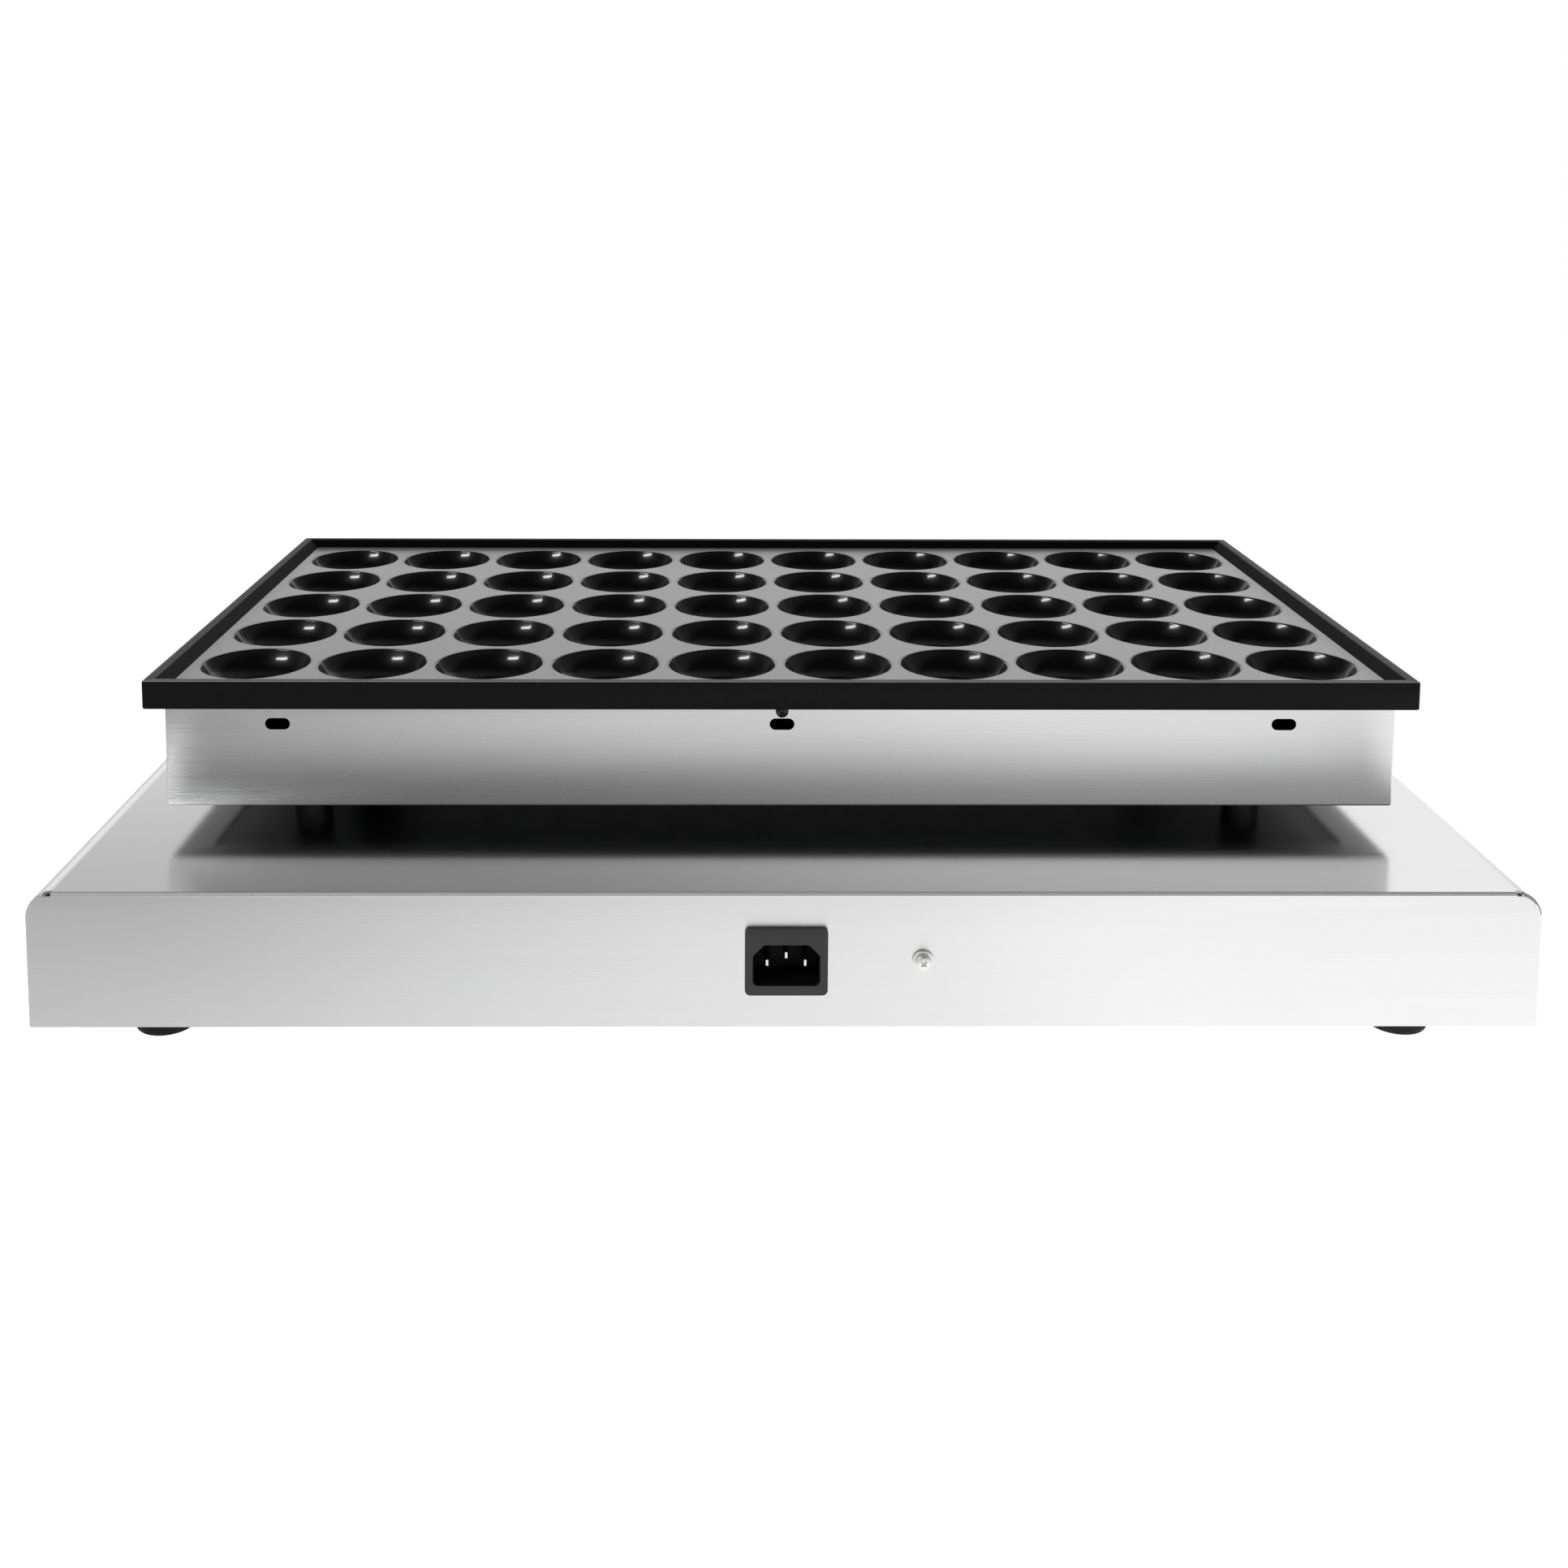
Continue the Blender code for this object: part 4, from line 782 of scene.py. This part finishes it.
def print_text(name, words, size, x, z, y):
    """Flat lettering on the front panel, read from the front."""
    curve = bpy.data.curves.new(name, "FONT")
    curve.body = words
    curve.size = size
    curve.align_x, curve.align_y = "CENTER", "CENTER"
    curve.extrude = 0.00004
    curve.resolution_u = 3
    drawn = bpy.data.objects.new(name + "_drawn", curve)
    scene.collection.objects.link(drawn)
    bpy.context.view_layer.update()
    mesh = bpy.data.meshes.new_from_object(drawn.evaluated_get(bpy.context.evaluated_depsgraph_get()))
    bpy.data.objects.remove(drawn, do_unlink=True)
    # stand the letters up and turn them to face +Y
    turn = Matrix.Rotation(math.pi, 4, "Z") @ Matrix.Rotation(math.pi / 2, 4, "X")
    mesh.transform(Matrix.Translation((x, y, z)) @ turn)
    return mesh


def make_marks(which, labels, sweep):
    """Ticks and numbers printed round a knob; the first label is where its line points at rest."""
    lo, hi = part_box(f"{which}_knob")
    x, z = (lo.x + hi.x) / 2, base_mid_z
    y = base_hi.y + 0.00008
    bm = bmesh.new()
    for i, label in enumerate(labels):
        # seen from the front +X is on the left, and a turn to the right is clockwise
        angle = math.radians(90.0 - sweep * i / (len(labels) - 1))
        cx, cz = x - math.cos(angle) * 0.0232, z + math.sin(angle) * 0.0232
        mesh = print_text(f"{which}_{label}", label, 0.0036, cx, cz, y)
        bm.from_mesh(mesh)
        bpy.data.meshes.remove(mesh)
    piece = Shell()
    piece.bm.free()
    piece.bm = bm
    piece.done(f"{which}_numbers", [black_ink], slot="steel")
    ticks = Shell()
    count = (len(labels) - 1) * 2
    for i in range(count + 1):
        angle = math.radians(90.0 - sweep * i / count)
        direction = Vector((-math.cos(angle), math.sin(angle)))
        across = Vector((-direction.y, direction.x))
        long = 0.0206 if i % 2 else 0.0211
        corners = [direction * TICK_START + across * 0.0002, direction * long + across * 0.0002,
                   direction * long - across * 0.0002, direction * TICK_START - across * 0.0002]
        ticks.solid([wall_loop([(c.x, c.y) for c in corners], yy, (x, z)) for yy in (y - 0.00004, y + 0.00004)])
    ticks.done(f"{which}_ticks", [black_ink], slot="steel")


make_marks("thermostat", ("0", "50", "100", "150", "200", "250", "300"), 270.0)
make_marks("timer", ("0", "1", "2", "3", "4", "5"), 300.0)


# Power switch: bezel with a two-way rocker


def make_switch():
    lo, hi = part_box("switch_body")
    x = (lo.x + hi.x) / 2
    y_face, y_back = hi.y, lo.y
    y_flange = y_face - 0.0020
    centre = (x, base_mid_z)
    shell = Shell()
    bands = [(0.0004, y_face), (0.0001, y_face - 0.0001), (0.0, y_face - 0.0004), (0.0, y_flange)]
    made = [shell.loop(wall_loop(rounded(0.01275 - inset, 0.01575 - inset, 0.0015, 4), y, centre))
            for inset, y in bands]
    for first, second in zip(made, made[1:]):
        shell.skin(first, second)
    neck = shell.loft([wall_loop(rounded(0.0105, 0.01375, 0.0006, 4), y, centre) for y in (y_flange, y_back)])
    shell.fill(made[-1], [neck[0]])
    shell.cap(neck[-1])
    sweep = math.hypot(0.0105, 0.0060) + 0.0003
    well = shell.loft([wall_loop(rounded(0.0083 - inset, sweep - inset, 0.0005, 3), y, centre)
                       for inset, y in ((-0.0002, y_face), (0.0, y_face - 0.0003), (0.0, y_face - 0.0108))])
    shell.fill(made[0], [well[0]])
    shell.cap(well[-1])
    shell.done("switch_bezel", [black_plastic], replaces=["switch_body"], slot="black_plastic", sharp=40.0)


def make_rocker():
    lo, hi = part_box("switch_body")
    x = (lo.x + hi.x) / 2
    pivot = Vector((x, hi.y - 0.004, base_mid_z))
    tilt = Matrix.Translation(pivot) @ Matrix.Rotation(math.radians(-8.0), 4, "X")
    half, end, middle, low = 0.0105, 0.0060, 0.0045, 0.0040
    outline = []
    for step in range(17):
        t = -1 + 2 * step / 16
        outline.append((half * t, middle + (end - middle) * abs(t) ** 1.6))
    outline += [(half * 0.985, end - 0.0012), (half * 0.8, -low), (-half * 0.8, -low), (-half * 0.985, end - 0.0012)]
    shell = Shell()
    rows = [(0.0004, -0.0080), (0.0001, -0.0079), (0.0, -0.0076)]
    rows += [(inset, -across) for inset, across in reversed(rows)]
    shell.solid([[tilt @ Vector((across, y * (1 - inset / end), z * (1 - inset / half))) for z, y in outline]
                 for inset, across in rows])
    shell.done("rocker_fine", [red_plastic], body="switch_rocker", replaces=["power_rocker"], slot="red_plastic",
               sharp=32.0)
    marks = Shell()

    def surface(z):
        return middle + (end - middle) * abs(z / half) ** 1.6

    ring_at, steps = -0.0062, 28
    loops = []
    for radius, lift in ((0.0016, 0.00002), (0.0016, 0.00010), (0.0012, 0.00010), (0.0012, 0.00002)):
        points = []
        for i in range(steps):
            angle = 2 * math.pi * i / steps
            z = ring_at + radius * math.sin(angle)
            points.append(tilt @ Vector((radius * math.cos(angle), surface(z) + lift, z)))
        loops.append(points)
    made = marks.loft(loops)
    marks.skin(made[-1], made[0])
    loops = []
    for lift in (0.00002, 0.00010):
        points = []
        for px, pz in rounded(0.0002, 0.0016, 0.00015, 2):
            z = 0.0062 + pz
            points.append(tilt @ Vector((px, surface(z) + lift, z)))
        loops.append(points)
    marks.solid(loops)
    marks.done("rocker_marks", [white_paint], body="switch_rocker", slot="red_plastic")


make_switch()
make_rocker()

# Lamps with domed, ridged lenses
LENSES = (("power_lamp", green_plastic, "green_plastic"), ("heat_lamp", red_plastic, "red_plastic"))
for node, look, lens_slot in LENSES:
    lo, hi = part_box(node)
    x = (lo.x + hi.x) / 2
    profile = [(0.0, 0.0047), (0.0012, 0.00465), (0.0016, 0.0045), (0.0020, 0.00455), (0.0027, 0.0043),
               (0.0031, 0.0040), (0.0035, 0.0040), (0.0041, 0.0034), (0.0047, 0.0024), (0.0049, 0.0014),
               (0.0050, 0.0012), (0.0056, 0.0012), (0.0060, 0.0010), (0.0062, 0.0006), (0.0062, 0.0),
               (0.0046, 0.0), (0.0046, -0.018), (0.0, -0.018)]
    # the lens first, then its metal ring
    marks = [0] * 10 + [1] * 7
    turned(f"{node}_fine", profile, (x, base_hi.y + GAP, base_mid_z), (0.0, 1.0, 0.0), [look, nickel],
           marks=marks, replaces=[node], slot=lens_slot)


# World, floor and lamp


def new_node(tree, kind, **values):
    node = tree.nodes.new(kind)
    for key, value in values.items():
        setattr(node, key, value)
    return node


def ramp(tree, source, points):
    """A smooth curve through (place, value) points."""
    curve = None
    for (x0, v0), (x1, v1) in zip(points, points[1:]):
        step = new_node(tree, "ShaderNodeMapRange", interpolation_type="SMOOTHSTEP")
        # each step after the first only adds its own rise
        low, high = (0.0, v1 - v0) if curve else (v0, v1)
        for key, value in (("From Min", x0), ("From Max", x1), ("To Min", low), ("To Max", high)):
            step.inputs[key].default_value = value
        tree.links.new(source, step.inputs["Value"])
        if curve is None:
            curve = step.outputs["Result"]
        else:
            total = new_node(tree, "ShaderNodeMath", operation="ADD")
            tree.links.new(curve, total.inputs[0])
            tree.links.new(step.outputs["Result"], total.inputs[1])
            curve = total.outputs[0]
    return curve


def maths(tree, operation, first, second):
    node = new_node(tree, "ShaderNodeMath", operation=operation)
    for socket, value in zip(node.inputs, (first, second)):
        if isinstance(value, float):
            socket.default_value = value
        else:
            tree.links.new(value, socket)
    return node.outputs[0]


def blend_values(tree, factor, first, second):
    node = new_node(tree, "ShaderNodeMix", data_type="FLOAT")
    for key, value in (("Factor", factor), ("A", first), ("B", second)):
        if isinstance(value, float):
            node.inputs[key].default_value = value
        else:
            tree.links.new(value, node.inputs[key])
    return node.outputs["Result"]


def make_world():
    world = bpy.data.worlds.new("studio")
    scene.world = world
    world.use_nodes = True
    tree = world.node_tree
    tree.nodes.clear()
    where = new_node(tree, "ShaderNodeTexCoord")
    split = new_node(tree, "ShaderNodeSeparateXYZ")
    tree.links.new(where.outputs["Generated"], split.inputs[0])
    x, y, z = split.outputs
    # low down the room grows lighter from left to right, and higher up it is even
    sideways = ramp(tree, x, [(-0.5, 0.46), (0.45, 1.0)])
    lifted = ramp(tree, z, [(0.28, 0.0), (0.36, 1.0)])
    sideways = blend_values(tree, lifted, 0.95, sideways)
    # a wide bright wall stands behind the object, and the rest of the room is dim
    behind = ramp(tree, y, [(-0.15, 0.0), (0.55, 1.0)])
    aside = ramp(tree, maths(tree, "ABSOLUTE", x, 0.0), [(0.46, 1.0), (0.66, 0.0)])
    window = blend_values(tree, maths(tree, "MULTIPLY", behind, aside), 0.16, 1.0)
    high = ramp(tree, z, [(0.44, 1.0), (0.70, 0.2)])
    level = maths(tree, "MULTIPLY", maths(tree, "MULTIPLY", sideways, window), high)
    # a low light strip on the camera's side, which the upright steel shows
    near_side = ramp(tree, y, [(-0.55, 1.0), (-0.25, 0.0)])
    front = maths(tree, "MULTIPLY", ramp(tree, x, [(-0.45, 0.50), (0.45, 1.05)]), near_side)
    low = ramp(tree, z, [(0.24, 1.0), (0.36, 0.22), (0.50, 0.0)])
    level = maths(tree, "MAXIMUM", level, maths(tree, "MULTIPLY", front, low))
    path = new_node(tree, "ShaderNodeLightPath")
    strength = blend_values(tree, path.outputs["Is Camera Ray"], level, 1.0)
    glow = new_node(tree, "ShaderNodeBackground")
    glow.inputs["Color"].default_value = (1.0, 1.0, 1.0, 1.0)
    tree.links.new(strength, glow.inputs["Strength"])
    out = new_node(tree, "ShaderNodeOutputWorld")
    tree.links.new(glow.outputs[0], out.inputs["Surface"])


def make_floor():
    material = bpy.data.materials.new("floor")
    material.use_nodes = True
    material.cycles.emission_sampling = "NONE"
    tree = material.node_tree
    tree.nodes.clear()
    where = new_node(tree, "ShaderNodeTexCoord")
    split = new_node(tree, "ShaderNodeSeparateXYZ")
    tree.links.new(where.outputs["Object"], split.inputs[0])
    near = ramp(tree, split.outputs[0], [(-0.40, 0.58), (0.0, 1.0), (0.17, 1.18), (0.40, 1.18)])
    far = ramp(tree, split.outputs[0], [(-0.50, 0.32), (0.0, 0.82), (0.28, 1.06), (0.40, 0.90)])
    level = blend_values(tree, ramp(tree, split.outputs[1], [(-0.42, 1.0), (-0.34, 0.0)]), near, far)
    path = new_node(tree, "ShaderNodeLightPath")
    mirror = maths(tree, "MAXIMUM", path.outputs["Is Glossy Ray"], path.outputs["Is Transmission Ray"])
    seen = new_node(tree, "ShaderNodeEmission")
    seen.inputs["Strength"].default_value = 0.90
    lit = new_node(tree, "ShaderNodeBsdfDiffuse")
    lit.inputs["Color"].default_value = (0.7, 0.7, 0.7, 1.0)
    both = new_node(tree, "ShaderNodeAddShader")
    tree.links.new(seen.outputs[0], both.inputs[0])
    tree.links.new(lit.outputs[0], both.inputs[1])
    reflected = new_node(tree, "ShaderNodeEmission")
    tree.links.new(level, reflected.inputs["Strength"])
    others = new_node(tree, "ShaderNodeMixShader")
    tree.links.new(mirror, others.inputs[0])
    tree.links.new(lit.outputs[0], others.inputs[1])
    tree.links.new(reflected.outputs[0], others.inputs[2])
    final = new_node(tree, "ShaderNodeMixShader")
    tree.links.new(path.outputs["Is Camera Ray"], final.inputs[0])
    tree.links.new(others.outputs[0], final.inputs[1])
    tree.links.new(both.outputs[0], final.inputs[2])
    out = new_node(tree, "ShaderNodeOutputMaterial")
    tree.links.new(final.outputs[0], out.inputs["Surface"])
    size = 12.0
    corners = [(-size, -size, 0.0), (size, -size, 0.0), (size, size, 0.0), (-size, size, 0.0)]
    mesh = bpy.data.meshes.new("floor")
    mesh.from_pydata(corners, [], [(0, 1, 2, 3)])
    mesh.materials.append(material)
    floor = bpy.data.objects.new("floor", mesh)
    scene.collection.objects.link(floor)


def lamp(name, towards, distance, size, power, roll):
    """A soft area lamp that looks at the object from a direction, rolled about its own axis."""
    light = bpy.data.lights.new(name, "AREA")
    light.shape = "RECTANGLE"
    light.size, light.size_y = size
    light.energy = power
    made = bpy.data.objects.new(name, light)
    scene.collection.objects.link(made)
    direction = Vector(towards).normalized()
    made.location = direction * distance + Vector((0.0, plate_y, 0.1))
    made.rotation_euler = (direction.to_track_quat("Z", "Y").to_matrix() @ Matrix.Rotation(roll, 3, "Z")).to_euler()
    made.visible_camera = False


make_world()
make_floor()
lamp("key", (-0.72, -0.46, 0.62), 2.2, (0.80, 0.16), 11.0, math.radians(27.0))

# Camera, fitted to the photograph: focal length and principal point in its pixels, angles in radians
FOCAL_PIXELS, PICTURE, PRINCIPAL_X, PRINCIPAL_Y = 2110.2, 1932.0, 907.95, 437.70
yaw, pitch, roll = 0.00893, 0.10412, 0.00367
forward = Vector((math.sin(yaw) * math.cos(pitch), math.cos(yaw) * math.cos(pitch), -math.sin(pitch)))
right = Vector((math.cos(yaw), -math.sin(yaw), 0.0))
up = right.cross(forward)
right_rolled = right * math.cos(roll) + up * math.sin(roll)
up_rolled = up * math.cos(roll) - right * math.sin(roll)
lens = bpy.data.cameras.new("camera")
lens.sensor_width = 36.0
lens.lens = FOCAL_PIXELS / PICTURE * 36.0
lens.shift_x = (PICTURE / 2 - PRINCIPAL_X) / PICTURE
lens.shift_y = -(PICTURE / 2 - PRINCIPAL_Y) / PICTURE
lens.clip_start, lens.clip_end = 0.01, 100.0
camera = bpy.data.objects.new("camera", lens)
scene.collection.objects.link(camera)
axes = Matrix((right_rolled, up_rolled, -forward)).transposed().to_4x4()
camera.matrix_world = Matrix.Translation((-0.02495, -0.83015, 0.33145)) @ axes
scene.camera = camera
